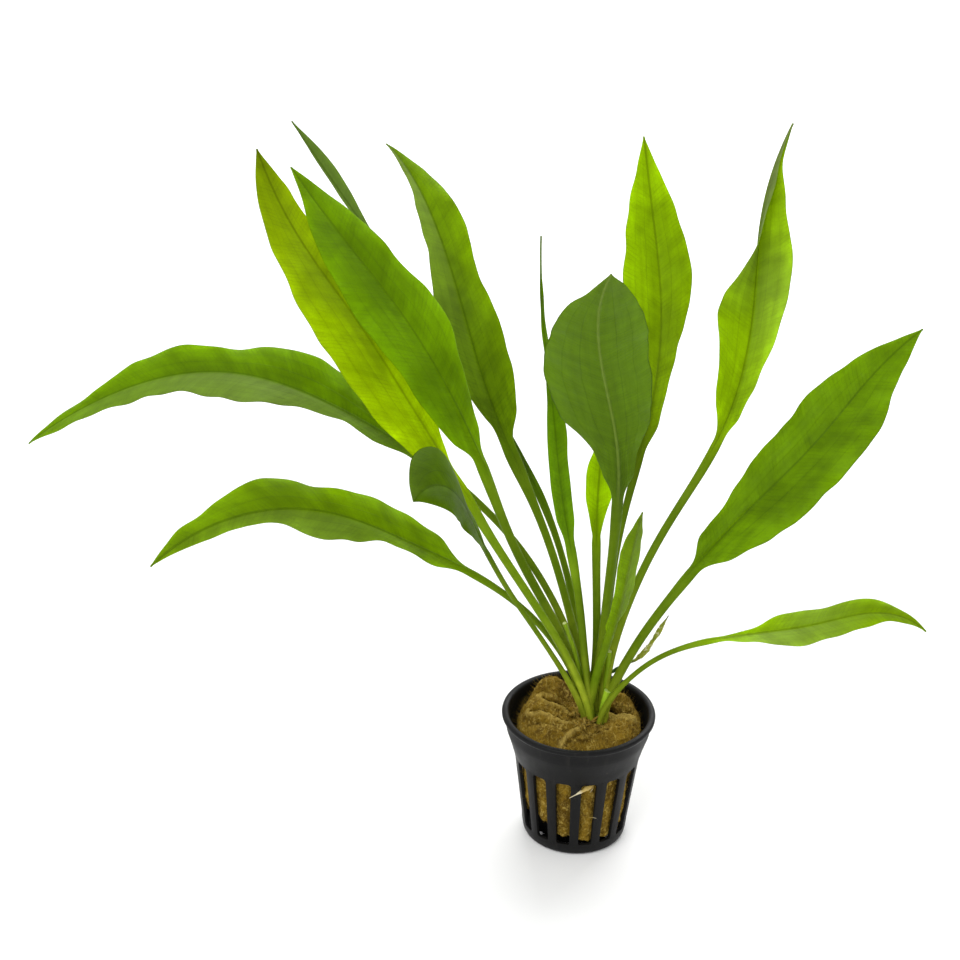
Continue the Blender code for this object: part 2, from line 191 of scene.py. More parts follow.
def makeStudio():
    scene = bpy.context.scene
    pitch, roll = math.radians(studio["pitch"]), math.radians(studio["roll"])
    ahead = Vector((0.0, math.cos(pitch), -math.sin(pitch)))
    across = Vector((1.0, 0.0, 0.0))
    over = across.cross(ahead)
    right = across * math.cos(roll) + over * math.sin(roll)
    up = over * math.cos(roll) - across * math.sin(roll)
    place = Vector(studio["aim"]) - ahead * studio["distance"] + right * studio["right"] + up * studio["up"]
    lens = bpy.data.cameras.new("camera")
    lens.lens, lens.sensor_width = studio["lens"], studio["sensor"]
    lens.clip_start, lens.clip_end = 0.05, 20.0
    camera = bpy.data.objects.new("camera", lens)
    scene.collection.objects.link(camera)
    camera.matrix_world = Matrix([
        (right[k], up[k], -ahead[k], place[k] * mm) for k in range(3)
    ] + [(0, 0, 0, 1)])
    scene.camera = camera

    world = bpy.data.worlds.new("studioAir")
    world.use_nodes = True
    air = next(n for n in world.node_tree.nodes if n.type == "BACKGROUND")
    air.inputs["Color"].default_value = (1.0, 1.0, 1.0, 1.0)
    air.inputs["Strength"].default_value = studio["sky"]
    scene.world = world
    scene.view_settings.view_transform = "Standard"

    half, low = studio["floorSize"] / 2, studio["floorLow"]
    mesh = bpy.data.meshes.new("floor")
    mesh.from_pydata([(-half, -half, low), (half, -half, low), (half, half, low), (-half, half, low)],
                     [], [(0, 1, 2, 3)])
    floor = bpy.data.objects.new("floor", mesh)
    scene.collection.objects.link(floor)
    material, _, body, _ = newMaterial("paleFloor")
    body.inputs["Base Color"].default_value = (*studio["floorTone"], 1.0)
    body.inputs["Roughness"].default_value = 0.8
    mesh.materials.append(material)

    for name, size, power, at in studio["lamps"]:
        lamp = bpy.data.lights.new(name, "AREA")
        lamp.shape, lamp.size, lamp.energy = "SQUARE", size, power
        light = bpy.data.objects.new(name, lamp)
        scene.collection.objects.link(light)
        light.location = at
        light.rotation_euler = (Vector(studio["lampAim"]) - Vector(at)).to_track_quat("-Z", "Y").to_euler()


# leaves

tones = {
    # top, under: surface colours; glow, share: colour and share of the light that comes through
    "bright": dict(top=(0.205, 0.330, 0.0), under=(0.19, 0.315, 0.004), glow=(0.62, 0.83, 0.0), share=0.48),
    "yellow": dict(top=(0.210, 0.308, 0.0), under=(0.20, 0.30, 0.004), glow=(0.65, 0.79, 0.0), share=0.48),
    "deep": dict(top=(0.096, 0.188, 0.0), under=(0.112, 0.20, 0.004), glow=(0.50, 0.68, 0.0), share=0.34),
    "middle": dict(top=(0.124, 0.228, 0.0), under=(0.130, 0.23, 0.004), glow=(0.53, 0.70, 0.0), share=0.40),
    "shaded": dict(top=(0.070, 0.145, 0.001), under=(0.098, 0.18, 0.006), glow=(0.38, 0.56, 0.002),
                   share=0.28),
}
veins = dict(
    # the lateral veins' places across each half, then the faint ones' places and strengths
    inner=0.36, outer=0.68, outerStrength=0.7, faint=((0.52, 0.35), (0.2, 0.3)),
    width=0.018, ribWidth=0.62, crossGap=1.7, slant=0.75, wander=3.0,
    # ribUnder: the rib's colour on the underside; then the colour of the painted whitish sheen
    ribUnder=(0.23, 0.33, 0.05), paintedSheen=(0.26, 0.34, 0.10),
)
stalkTones = dict(foot=(0.40, 0.47, 0.03), upper=(0.150, 0.245, 0.006), streak=(0.085, 0.16, 0.001))

# at: where the stalk stands; stalk, blade: lengths; girth: half the stalk's thickness; rise, turn:
# heading of the midrib above the ground and round the plant, base to tip; roll: turn of the blade about
# its midrib; left, right: half widths at even steps of the blade; leftFold, rightFold: lift of each half;
# cup: how far each half bellies out; wave: height of the margin's waves, and how many; waver: how uneven
# the margins are; light: painted light and shade, a brightness from base to tip; paintedSheen: painted
# whitish sheen from base to tip; marginLight: how much lighter each margin is than the middle, painted light
leaves = {
    "leaf_long_left": dict(
        at=(0.3, 5.5), stalk=114, blade=156, girth=1.2, tone="deep", neck=0.9, stalkLight=0.8,
        rise=(88, 57, 30, 18, -18, -39), turn=(157, 162, 162, 167, 177, 185), roll=(-18, -24, -17),
        left=(4.8, 4.0, 6.6, 12.2, 12, 10, 8, 7.5, 4.5), right=(6.5, 12, 15, 14, 10, 12.5, 10.5, 5, 3.5),
        leftFold=(-5, 0, 7, 4), rightFold=(5, 7, 7, 5), cup=0.05, wave=(0.8, 4.5),
        marginLight=(-0.1, 0.25), light=(1.05, 1.15, 1.35), paintedSheen=((0.1, 0.38, 0.22, 0.0), (0, 0, 0)),
    ),
    "leaf_low_left": dict(
        at=(0.9, 0.4), stalk=74, blade=122, girth=1.1, tone="middle",
        rise=(85, 53, 32, 27, -4, -37), turn=(177, 184, 186, 190, 199, 208), roll=(-20, -22, -13),
        left=(4, 5, 5, 9, 10, 5, 4, 4, 2.5), right=(7.5, 10, 12.5, 11, 10, 13, 11, 7, 4),
        leftFold=(0, 0, -45, -40), rightFold=(6, 6, 7, 5), cup=0.05, wave=(0.8, 4.0),
        marginLight=(0.1, 0.3), light=(1.15, 1.0, 1.15), paintedSheen=((0, 0.2, 0), (0, 0, 0)),
    ),
    "leaf_light_left": dict(
        at=(4.4, -4.6), stalk=100, blade=141, girth=1.4, tone="yellow", neck=0.9, stalkLight=1.2,
        rise=(77, 58, 54, 47, 38, 57), turn=(182, 172, 155, 142, 138, 130), roll=(-14, -18, -14),
        left=(8, 12.5, 16, 16.5, 16.5, 16, 12.5, 10, 6.5), right=(2.5, 6.5, 12, 15, 16, 14.5, 10.5, 6, 4.5),
        leftFold=(7, 6, 7, 8), rightFold=(8, 8, 8, 8), cup=0.04, wave=(0.6, 3.5),
        light=(1.4, 1.28, 0.74),
    ),
    "leaf_broad_left": dict(
        at=(1.6, 2.6), stalk=102, blade=123, girth=1.5, tone="deep", neck=0.8, stalkLight=0.85,
        rise=(84, 61, 68, 60, 45, 47), turn=(173, 169, 163, 160, 154, 149), roll=(-21, -20, -14),
        left=(8, 12, 14, 16, 17, 15.5, 14, 10.5, 4.5), right=(5, 8, 10.5, 14.5, 15, 12, 11.5, 9.5, 5.5),
        leftFold=(4, 4, 4, 5), rightFold=(5, 4, 4, 5), cup=0.03, wave=(0.6, 3.0),
        marginLight=(0.15, 0.15), light=(1.25, 1.3, 1.3),
    ),
    "leaf_edge_on_left": dict(
        at=(2.9, 8.4), stalk=78, blade=164, girth=1.1, tone="shaded",
        rise=(74, 60, 47, 43, 43, 44), turn=(107, 122, 138, 144, 144, 143), roll=(-45, -54, -60),
        left=(1.2, 1.3, 1.6, 2, 2, 1.7, 1.4, 1.1, 0.8), right=(1.2, 1.3, 1.4, 1.4, 1.3, 1.2, 1.2, 3.4, 3.4),
        leftFold=(10, 10, 10, 10), rightFold=(10, 10, 10, 10), cup=0.02, wave=(0.3, 3.0),
        waver=0.2, light=(0.9, 1.05, 1.1), paintedSheen=((0, 0.3, 0.2), (0, 0.3, 0.2)),
    ),
    "leaf_upright_left": dict(
        at=(4.6, 3.2), stalk=98, blade=134, girth=1.3, tone="middle", neck=1.3,
        rise=(75, 65, 49, 51, 38, 12), turn=(139, 132, 131, 117, 116, 123), roll=(-13, -11, -7),
        left=(3.5, 8, 11, 11, 9, 6, 5.5, 3, 1.5), right=(7.5, 11, 11.5, 11, 9, 10, 10, 7.5, 3.5),
        leftFold=(8, 8, 8, 8), rightFold=(8, 8, 8, 8), cup=0.05, wave=(0.6, 3.5),
        marginLight=(-0.05, 0.18), light=(0.75, 1.0, 1.0), paintedSheen=((0, 0.2, 0.5), (0, 0, 0)),
    ),
    "leaf_small_curled": dict(
        at=(1.8, -2.4), stalk=84, blade=52, girth=0.9, tone="deep",
        rise=(72, 63, 59, 64, 59, -25), turn=(200, 200, 199, 200, 213, 242), roll=(-17, -35, -35),
        left=(5, 8, 10.5, 12.5, 13, 13.5, 13.5, 12, 7), right=(4.5, 7, 9.5, 11.5, 13, 14.5, 15, 12, 6),
        leftFold=(7, 6, 2, 4), rightFold=(6, -12, 3, 2), cup=0.04, wave=(0.4, 2.0),
        light=(0.80, 0.74, 0.86), paintedSheen=((0, 0, 0, 0), (0, 0, 0, 0, 0.15)),
    ),
    "leaf_narrow": dict(
        at=(4.8, -1.8), stalk=68, blade=111, girth=1.3, tone="shaded",
        rise=(81, 83, 77, 79, 69, 66), turn=(177, 165, 149, 128, 112, 89), roll=(-56, -67, -76),
        left=(3, 3.5, 3.5, 3, 2.2, 1.5, 1.2, 0.9, 0.6), right=(3, 3.5, 4, 5, 4.4, 2.8, 1.8, 1.2, 0.7),
        leftFold=(10, 10, 10, 10), rightFold=(10, 10, 10, 10), cup=0.02, wave=(0.3, 3.0),
        waver=0.2, light=(1.5, 1.4, 1.1),
    ),
    "leaf_front": dict(
        at=(7.4, 3.2), stalk=91, blade=136, girth=1.5, tone="shaded",
        rise=(93, 82, 74, 61, 53, 46), turn=(300, 288, 270, 249, 261, 284), roll=(6, 8, 1),
        left=(4.5, 6.5, 11, 13.5, 15, 15, 15.5, 13, 8), right=(5, 8.5, 16, 19, 19.5, 17.5, 14.5, 11, 4.5),
        leftFold=(5, 5, 5, 6), rightFold=(5, 1, 6, 5), cup=-0.04, wave=(0.6, 3.0),
        light=(0.88, 1.09, 1.1),
    ),
    "leaf_upright_right": dict(
        at=(8.0, 5.9), stalk=95, blade=117, girth=1.1, tone="bright",
        rise=(86, 83, 64, 51, 56, 65), turn=(66, 62, 58, 79, 102, 108), roll=(-1, -2, -1),
        left=(4, 6.5, 9, 11, 13, 13, 11.5, 8.5, 4.5), right=(4, 4, 5.5, 7.5, 10.5, 11.5, 10, 7.5, 4),
        leftFold=(8, 8, 8, 8), rightFold=(8, 8, 8, 8), cup=0.03, wave=(0.5, 4.0),
        waver=0.5, light=(0.6, 0.97, 1.24), stalkLight=0.85,
    ),
    "leaf_twisted_right": dict(
        at=(10.7, 1.6), stalk=108, blade=119, girth=1.3, tone="bright",
        rise=(97, 65, 50, 78, 90, 51), turn=(43, 41, 36, 34, 40, 45), roll=(15, 16, 13),
        left=(5.5, 8.5, 11, 12, 11, 8, 6, 4.5, 2.5), right=(4.0, 6.3, 8.5, 12.0, 13.8, 14.5, 12.2, 7.6, 2.4),
        leftFold=(15, 12, 12, 48, 118, 138, 125), rightFold=(8, 8, 7, 8), cup=0.04, wave=(0.5, 3.0),
        waver=0.55, marginLight=(0.0, 0.3), light=(1.08, 1.0, 0.98),
        paintedSheen=((0, 0, 0, 0.3, 0.8, 0.8), (0, 0.1, 0.3, 0.05, 0)),
    ),
    "leaf_broad_right": dict(
        at=(10.0, -2.6), stalk=63, blade=120, girth=1.5, tone="deep",
        rise=(85, 56, 45, 39, 43, 29), turn=(21, 22, 25, 26, 32, 27), roll=(26, 27, 23),
        left=(6.5, 7.5, 10, 12.5, 12.5, 13.5, 12, 9, 4.5), right=(7, 12.3, 15.2, 16.5, 16, 16, 14.5, 10, 5.5),
        leftFold=(5, 4, 5, 5), rightFold=(4, 4, 4, 5), cup=0.03, wave=(0.6, 5.0),
        waver=0.7, marginLight=(0.05, 0.15), light=(1.1, 1.1, 1.25),
    ),
    "leaf_low_right": dict(
        at=(7.8, -5.2), stalk=55, blade=78, girth=0.9, tone="bright",
        rise=(79, 48, 21, 14, 15, -40), turn=(-4, -6, -9, -6, -1, -9), roll=(17, 19, 18),
        left=(1.5, 2.5, 5.5, 7, 6.5, 6, 6.5, 5, 2.5), right=(1.5, 4, 6.5, 8.5, 8.5, 8, 6.5, 4, 2.5),
        leftFold=(6, 6, 6, 6), rightFold=(6, 5, 6, 6), cup=0.04, wave=(0.4, 3.0),
        waver=0.35, light=(1.36, 1.1, 0.95), paintedSheen=((0, 0, 0.25, 0, 0), (0, 0.45, 0.3, 0, 0)),
    ),
    "leaf_young_rear": dict(
        at=(5.5, 6.4), stalk=65, blade=39, girth=1.3, tone="bright", neck=0.2,
        rise=(95, 88, 78, 72, 69, 67), turn=(106, 103, 101, 95, 83, 72), roll=(0, 0, 0),
        left=(1.7, 2.4, 3.3, 4.2, 4.6, 4.6, 4.1, 3.1, 2), right=(1.7, 2.6, 3.7, 4.7, 5, 4.7, 4.1, 3, 1.5),
        leftFold=(8, 8, 8, 8), rightFold=(8, 8, 8, 8), cup=0.03, wave=(0.2, 2.0),
        waver=0.4, light=(1.1, 1.2, 1.25),
    ),
    "leaf_young_front": dict(
        at=(2.8, -0.6), stalk=39, blade=67, girth=1.5, tone="bright", neck=0.3, stalkLight=1.05,
        rise=(83, 77, 68, 70, 69, 64), turn=(335, 318, 298, 287, 284, 284), roll=(16, 13, 14),
        left=(4, 5.4, 5.4, 4.8, 4.2, 4.2, 3.7, 3, 1.5), right=(3.2, 3.2, 3.2, 3.4, 3.7, 4, 4.2, 3.5, 2),
        leftFold=(12, 11, 12, 12), rightFold=(12, 12, 12, 12), cup=0.03, wave=(0.2, 2.0),
        waver=0.4, light=(0.95, 0.93, 0.84), paintedSheen=((0.2, 0.25, 0.2, 0.1), (0, 0, 0)),
    ),
}
leafMake = dict(
    stalkFoot=46.8, footDip=4.0,  # height where the stalks start, and how far their feet go on down
    centre=(5.3, 0.4), gather=0.25, footPull=0.28, pullReach=0.5,  # how the feet draw together
    footHalf=(2.5, 1.25), grownBy=0.45, broader=1.1,  # the stalk's foot, half across and half deep
    neck=0.35, neckReach=0.14, wingedBy=0.12,  # where the stalk widens into the blade
    stalkRings=36, ringGap=1.0, ribSteps=6, ribShare=0.25, leastWide=0.15,
    thick=0.24, thinner=0.35, edgePower=6, veinUp=0.05, veinDown=0.10, veinWidth=0.02,
    ribLeast=(0.35, 0.10, 0.26), ribFade=(1.2, 5.0, 1.6),  # across, above and below the blade
    ribFrom=0.95, rollEarly=1.3,  # the rib's share of the girth, and how early the stalk has its full roll
    waver=0.5, waverGap=8.0, waverSeed=1.7, waverEnds=(0.1, 0.15),  # none at the blade's base and tip
    # a second, quicker wave lies on each margin's first, and the leaf's seed shifts both
    waveReach=2.2, waveShift=0.13, handShift={"left": 0.9, "right": 2.3},
    quicker=2.3, quickShare=0.5, quickShift=0.37,
    tipPast=0.3, gloss=0.05, stalkLight=0.92,
)
# where the wing's columns stand between the rib and the margin: close together at the two lateral veins
wingPlaces = (0.07, 0.15, 0.24, 0.31, 0.345, 0.36, 0.375, 0.41, 0.49, 0.57, 0.63, 0.665, 0.68, 0.695,
              0.73, 0.80, 0.87, 0.93, 0.97, 1.0)


def stemFrames(start, length, rise, turn, places):  # point, heading, left and up at each place, 0 to 1
    steps = 480

    def headings(spots):
        up, way = np.radians(curveThrough(rise, spots)), np.radians(curveThrough(turn, spots))
        ahead = np.stack([np.cos(up) * np.cos(way), np.cos(up) * np.sin(way), np.sin(up)], 1)
        return ahead, np.stack([-np.sin(way), np.cos(way), 0 * way], 1)

    where = (np.arange(steps) + 0.5) / steps
    start = np.asarray(start, float)
    path = np.vstack([start, start + np.cumsum(headings(where)[0] * length / steps, 0)])
    spots = np.linspace(0, 1, steps + 1)
    points = np.stack([np.interp(places, spots, path[:, k]) for k in range(3)], 1)
    ahead, left = headings(places)
    return points, ahead, left, np.cross(ahead, left)


def midribFrames(leaf, places):
    start = (*leaf["at"], leafMake["stalkFoot"])
    return stemFrames(start, leaf["stalk"] + leaf["blade"], leaf["rise"], leaf["turn"], places)


def leafSkin(name, leaf):
    make = leafMake
    length = leaf["stalk"] + leaf["blade"]
    junction = leaf["stalk"] / length
    bladeRings = int(leaf["blade"] / make["ringGap"])
    stalkPlaces = np.linspace(0, junction, make["stalkRings"], endpoint=False)
    bladePlaces = junction + (1 - junction) * np.linspace(0, 1, bladeRings + 1)
    places = np.concatenate([stalkPlaces, bladePlaces])
    points, ahead, left, up = midribFrames(leaf, places)
    # the feet stand closer together than the stalks above them
    loose = (1 - easeStep(places / junction / make["pullReach"]))[:, None]
    inward = np.array([*make["centre"], 0]) - points[0]
    points = points + loose * inward * (make["footPull"], make["footPull"], 0)
    v = np.clip((places - junction) / (1 - junction), 0, 1)
    u = np.clip(places / junction, 0, 1)
    roll = np.radians(curveThrough(leaf["roll"], v)) * easeStep(u * make["rollEarly"])
    side = left * np.cos(roll)[:, None] + up * np.sin(roll)[:, None]
    face = up * np.cos(roll)[:, None] - left * np.sin(roll)[:, None]

    girth = leaf["girth"]
    grown = easeStep(u / make["grownBy"])
    winged = easeStep(v / make["wingedBy"])
    neck = leaf.get("neck", make["neck"])  # the blade narrows gradually into the stalk
    broad = girth * make["broader"]
    footWide, footDeep = make["footHalf"]
    ribAcross = footWide * (1 - grown) + broad * grown + neck * np.exp(-((1 - u) / make["neckReach"]) ** 2)
    ribUp = footDeep * (1 - grown) + girth * grown
    leastAcross, leastUp, leastDown = make["ribLeast"]
    fadeAcross, fadeUp, fadeDown = make["ribFade"]
    bladeRib = np.maximum(leastAcross, girth * (1 - v) ** fadeAcross * make["ribFrom"])
    atNeck = broad + neck - girth * make["ribFrom"]
    ribAcross = np.where(v > 0, bladeRib + atNeck * (1 - winged), ribAcross)
    ribDown = np.where(v > 0, np.maximum(leastDown, girth * (1 - v) ** fadeDown), ribUp)
    ribUp = np.where(v > 0, np.maximum(leastUp, girth * (1 - v) ** fadeUp), ribUp)
    thick = make["thick"] * (1 - make["thinner"] * v)

    phases = np.linspace(0, 1, make["ribSteps"] + 1)[1:]
    columns = []
    waveHigh, waveCount = leaf["wave"]
    waverStart, waverStop = make["waverEnds"]
    seed = sum(ord(c) for c in name)
    for hand, way in (("left", 1.0), ("right", -1.0)):
        wide = np.maximum(curveThrough((broad + neck, *leaf[hand], make["leastWide"]), v), make["leastWide"])
        gap = leaf["blade"] / make["waverGap"]
        row = seed * make["waverSeed"]
        wobble = np.array([noise.noise(Vector((place * gap, row, way))) for place in v])
        wobble *= easeStep(v / waverStart) * easeStep((1 - v) / waverStop)
        wide = wide + leaf.get("waver", make["waver"]) * wobble
        wide = np.where(v > 0, np.maximum(wide, np.minimum(ribAcross, wide + 0.2)), ribAcross)
        ribEdge = np.minimum(ribAcross, wide * 0.5 + ribAcross * 0.5 * (1 - winged))
        fold = np.radians(curveThrough(leaf[hand + "Fold"], v))
        out = side * (way * np.cos(fold))[:, None] + face * np.sin(fold)[:, None]
        over = face * np.cos(fold)[:, None] - side * (way * np.sin(fold))[:, None]
        for kind, spots in (("rib", phases), ("wing", wingPlaces)):
            for spot in spots:
                if kind == "rib":
                    across, x = make["ribShare"] * spot, ribEdge * spot
                    bell = math.cos(math.pi / 2 * spot) ** 2
                else:
                    across = make["ribShare"] + (1 - make["ribShare"]) * spot
                    x, bell = ribEdge + (wide - ribEdge) * spot, 0.0
                share = x / wide
                turnAngle = math.pi / 2 * across
                roundX, roundUp = ribAcross * math.sin(turnAngle), math.cos(turnAngle)
                edgeThin = np.sqrt(np.maximum(0.0, 1 - share ** make["edgePower"]))
                gaps = [(spot - veins[line]) / make["veinWidth"] for line in ("inner", "outer")]
                vein = sum(math.exp(-gap ** 2) for gap in gaps) if kind == "wing" else 0.0
                belly = leaf["cup"] * wide * 4 * share * (1 - share)
                slow = waveCount * v + make["waveShift"] * seed
                quick = make["quicker"] * waveCount * v + make["quickShift"] * seed
                ripple = np.sin(2 * math.pi * slow + make["handShift"][hand])
                ripple += make["quickShare"] * np.sin(2 * math.pi * quick + way)
                wave = waveHigh * ripple * share ** make["waveReach"] * np.sin(math.pi * v) ** 0.5
                lift = winged * (belly + wave)
                top = winged * (thick * edgeThin - make["veinUp"] * vein * (1 - v) + ribUp * bell)
                low = winged * (thick * edgeThin + make["veinDown"] * vein * (1 - v) + ribDown * bell)
                dx = winged * x + (1 - winged) * roundX
                highest = top + (1 - winged) * ribUp * roundUp + lift
                lowest = -low - (1 - winged) * ribDown * roundUp + lift
                columns.append((way, share, dx, highest, lowest, out, over))
    centreTop = winged * (thick + ribUp) + (1 - winged) * ribUp
    centreLow = winged * (thick + ribDown) + (1 - winged) * ribDown

    perSide = len(columns) // 2
    leftSide, rightSide = columns[:perSide], columns[perSide:]
    ring, place, sideOf = [], [], []

    def put(column, high):
        way, share, dx, highest, lowest, out, over = column
        height = highest if high else lowest
        ring.append(points + out * dx[:, None] + over * height[:, None])
        place.append(np.stack([way * share * (dx > 0), v, dx * way], 1))
        sideOf.append(np.full(len(v), 1.0 if high else 0.0))

    def putMiddle(height, high):
        ring.append(points + face * height[:, None])
        place.append(np.stack([0 * v, v, 0 * v], 1))
        sideOf.append(np.full(len(v), high))

    for column in reversed(leftSide):
        put(column, True)
    putMiddle(centreTop, 1.0)
    for column in rightSide:
        put(column, True)
    for column in reversed(rightSide[:-1]):
        put(column, False)
    putMiddle(-centreLow, 0.0)
    for column in leftSide[:-1]:
        put(column, False)

    rings = np.stack(ring, 1)  # ring by ring, round the leaf
    place = np.stack(place, 1)
    sideOf = np.stack(sideOf, 1)
    place[:, :, 1] = np.where(v > 0, v, u - 1)[:, None]  # below 0 on the stalk
    dip = rings[0] - ahead[0] * make["footDip"]
    pull = (np.array([*make["centre"], 0]) - points[0]) * make["gather"]
    pull[2] = 0
    rings = np.concatenate([[dip + pull], rings])
    place = np.concatenate([place[:1], place])
    sideOf = np.concatenate([sideOf[:1], sideOf])
    count, size = rings.shape[:2]
    tip = points[-1] + ahead[-1] * make["tipPast"]
    foot = rings[0].mean(0)
    allPoints = np.vstack([rings.reshape(-1, 3), foot, tip])
    allPlaces = np.vstack([place.reshape(-1, 3), [0, -1, 0], [0, 1, 0]])
    allSides = np.concatenate([sideOf.reshape(-1), [0.5, 0.5]])
    return allPoints, ringFaces(count, size), allPlaces, allSides


def leafMaterial(name, tone):
    made, tree, body, spot = newMaterial(name)
    share, along, sideways = partsOf(tree, attributeOf(tree, "leafPlace", "Vector"))
    across, offset = calc(tree, "ABSOLUTE", share), calc(tree, "ABSOLUTE", sideways)
    upper, light, paintedSheen = partsOf(tree, attributeOf(tree, "leafLooks", "Vector"))
    onBlade = ramp(tree, along, -0.14, 0.12)

    lines = None
    laterals = ((veins["inner"], 1.0), (veins["outer"], veins["outerStrength"]))
    for where, strength in (*laterals, *veins["faint"]):
        gap = calc(tree, "ABSOLUTE", calc(tree, "SUBTRACT", across, where))
        line = times(tree, ramp(tree, gap, 0.0, veins["width"], 1.0, 0.0), strength)
        lines = line if lines is None else calc(tree, "MAXIMUM", lines, line)
    lines = times(tree, lines, onBlade)
    rib = times(tree, ramp(tree, offset, 0.15, veins["ribWidth"], 1.0, 0.0), onBlade)

    # cross veins run out from the rib and a little towards the tip
    length = attributeOf(tree, "leafRun")
    wander = noiseAt(tree, spot, 90.0, 2.0)
    run = calc(tree, "MULTIPLY_ADD", offset, -veins["slant"], length)
    run = calc(tree, "MULTIPLY_ADD", wander, veins["wander"], run)
    swing = calc(tree, "SINE", times(tree, run, 2 * math.pi / veins["crossGap"]))
    broken = ramp(tree, noiseAt(tree, spot, 160.0, 2.0), 0.38, 0.62)
    cross = times(tree, times(tree, ramp(tree, swing, 0.55, 1.0), onBlade), broken)
    net = addNode(tree, "ShaderNodeTexVoronoi", {"Vector": spot, "Scale": 900.0}, feature="DISTANCE_TO_EDGE")
    mesh = ramp(tree, net.outputs["Distance"], 0.0, 0.12, 1.0, 0.0)

    patches = ramp(tree, noiseAt(tree, spot, 45.0, 3.0, 0.6, 0.4), 0.35, 0.65)
    flecks = ramp(tree, noiseAt(tree, spot, 380.0, 2.0), 0.64, 0.74)
    streaks = noiseAt(tree, spot, 230.0, 2.0)
    margin = times(tree, ramp(tree, across, 0.965, 0.995), onBlade)
    # uneven bands of tone and painted groove shade, some along the blade and some along the cross veins, and
    # painted light on the thinner margin
    lengthwise = addNode(tree, "ShaderNodeCombineXYZ", {0: sideways, 1: times(tree, length, 0.06)})
    crosswise = addNode(tree, "ShaderNodeCombineXYZ", {0: times(tree, sideways, 0.3), 1: run})
    bands = calc(tree, "SUBTRACT", noiseAt(tree, lengthwise.outputs[0], 0.42, 2.0, 0.5), 0.5)
    ripples = calc(tree, "SUBTRACT", noiseAt(tree, crosswise.outputs[0], 0.26, 3.0, 0.55), 0.5)
    grooveShade = ramp(tree, along, 0.0, 0.4, 0.95, 0.35)  # painted groove shade, deeper towards the stalk
    uneven = calc(tree, "MULTIPLY_ADD", bands, grooveShade, calc(tree, "MULTIPLY_ADD", ripples, 0.45, 0.93))
    uneven = calc(tree, "MULTIPLY_ADD", calc(tree, "POWER", across, 2.0), 0.16, uneven)
    uneven = calc(tree, "ADD", 1.0, times(tree, calc(tree, "SUBTRACT", uneven, 1.0), onBlade))
    light = times(tree, light, uneven)
    top = tone["top"]
    dark, pale = shaded(top, 0.6), [c * 1.35 + 0.015 for c in top]
    mottled = blendColours(tree, patches, shaded(top, 0.80), shaded(top, 1.16))
    base = blendColours(tree, upper, tone["under"], mottled)
    ribTone = blendColours(tree, upper, veins["ribUnder"], shaded(top, 0.72))
    # the last layer is the painted whitish sheen
    base = layColours(tree, base, (
        (cross, 0.20, dark), (mesh, 0.13, dark), (flecks, 0.22, pale), (lines, 0.30, dark),
        (margin, 0.45, dark), (rib, 0.55, ribTone), (paintedSheen, onBlade, veins["paintedSheen"])))
    stalkTone = blendColours(tree, ramp(tree, along, -1.0, -0.45), stalkTones["foot"], stalkTones["upper"])
    ridges = calc(tree, "MULTIPLY_ADD", streaks, 0.6, times(tree, patches, 0.4))
    stalkTone = blendColours(tree, ramp(tree, ridges, 0.3, 0.7, 0.0, 0.45), stalkTone, stalkTones["streak"])
    base = blendColours(tree, onBlade, stalkTone, base)
    tree.links.new(lightened(tree, base, light), body.inputs["Base Color"])
    tree.links.new(ramp(tree, streaks, 0.25, 0.75, 0.36, 0.52), body.inputs["Roughness"])
    body.inputs["Specular IOR Level"].default_value = leafMake["gloss"]

    height = calc(tree, "MULTIPLY_ADD", lines, -0.6, times(tree, cross, -0.45))
    height = calc(tree, "MULTIPLY_ADD", mesh, -0.03, height)
    height = calc(tree, "MULTIPLY_ADD", streaks, 0.35, height)
    addBump(tree, body, height, strength=0.35, distance=0.3 * mm)

    glow, dim = tone["glow"], shaded(tone["glow"], 0.3)
    through = blendColours(tree, patches, shaded(glow, 0.85), glow)
    # less light comes through where the whitish sheen is painted
    through = layColours(tree, through, (
        (cross, 0.22, dim), (mesh, 0.14, dim), (lines, 0.32, dim), (rib, 0.62, dim), (paintedSheen, 0.7, dim)))
    through = blendColours(tree, onBlade, stalkTone, through)
    lit = addNode(tree, "ShaderNodeBsdfTranslucent", {"Color": lightened(tree, through, light)})
    passes = calc(tree, "MULTIPLY_ADD", onBlade, tone["share"] - 0.15, 0.15)
    mix = addNode(tree, "ShaderNodeMixShader", {0: passes})
    tree.links.new(body.outputs[0], mix.inputs[1])
    tree.links.new(lit.outputs[0], mix.inputs[2])
    tree.links.new(mix.outputs[0], tree.nodes["Material Output"].inputs["Surface"])
    return made


def lightened(tree, colour, level):
    grey = addNode(tree, "ShaderNodeCombineXYZ", {0: level, 1: level, 2: level}).outputs[0]
    return blendColours(tree, 1.0, colour, grey, "MULTIPLY")


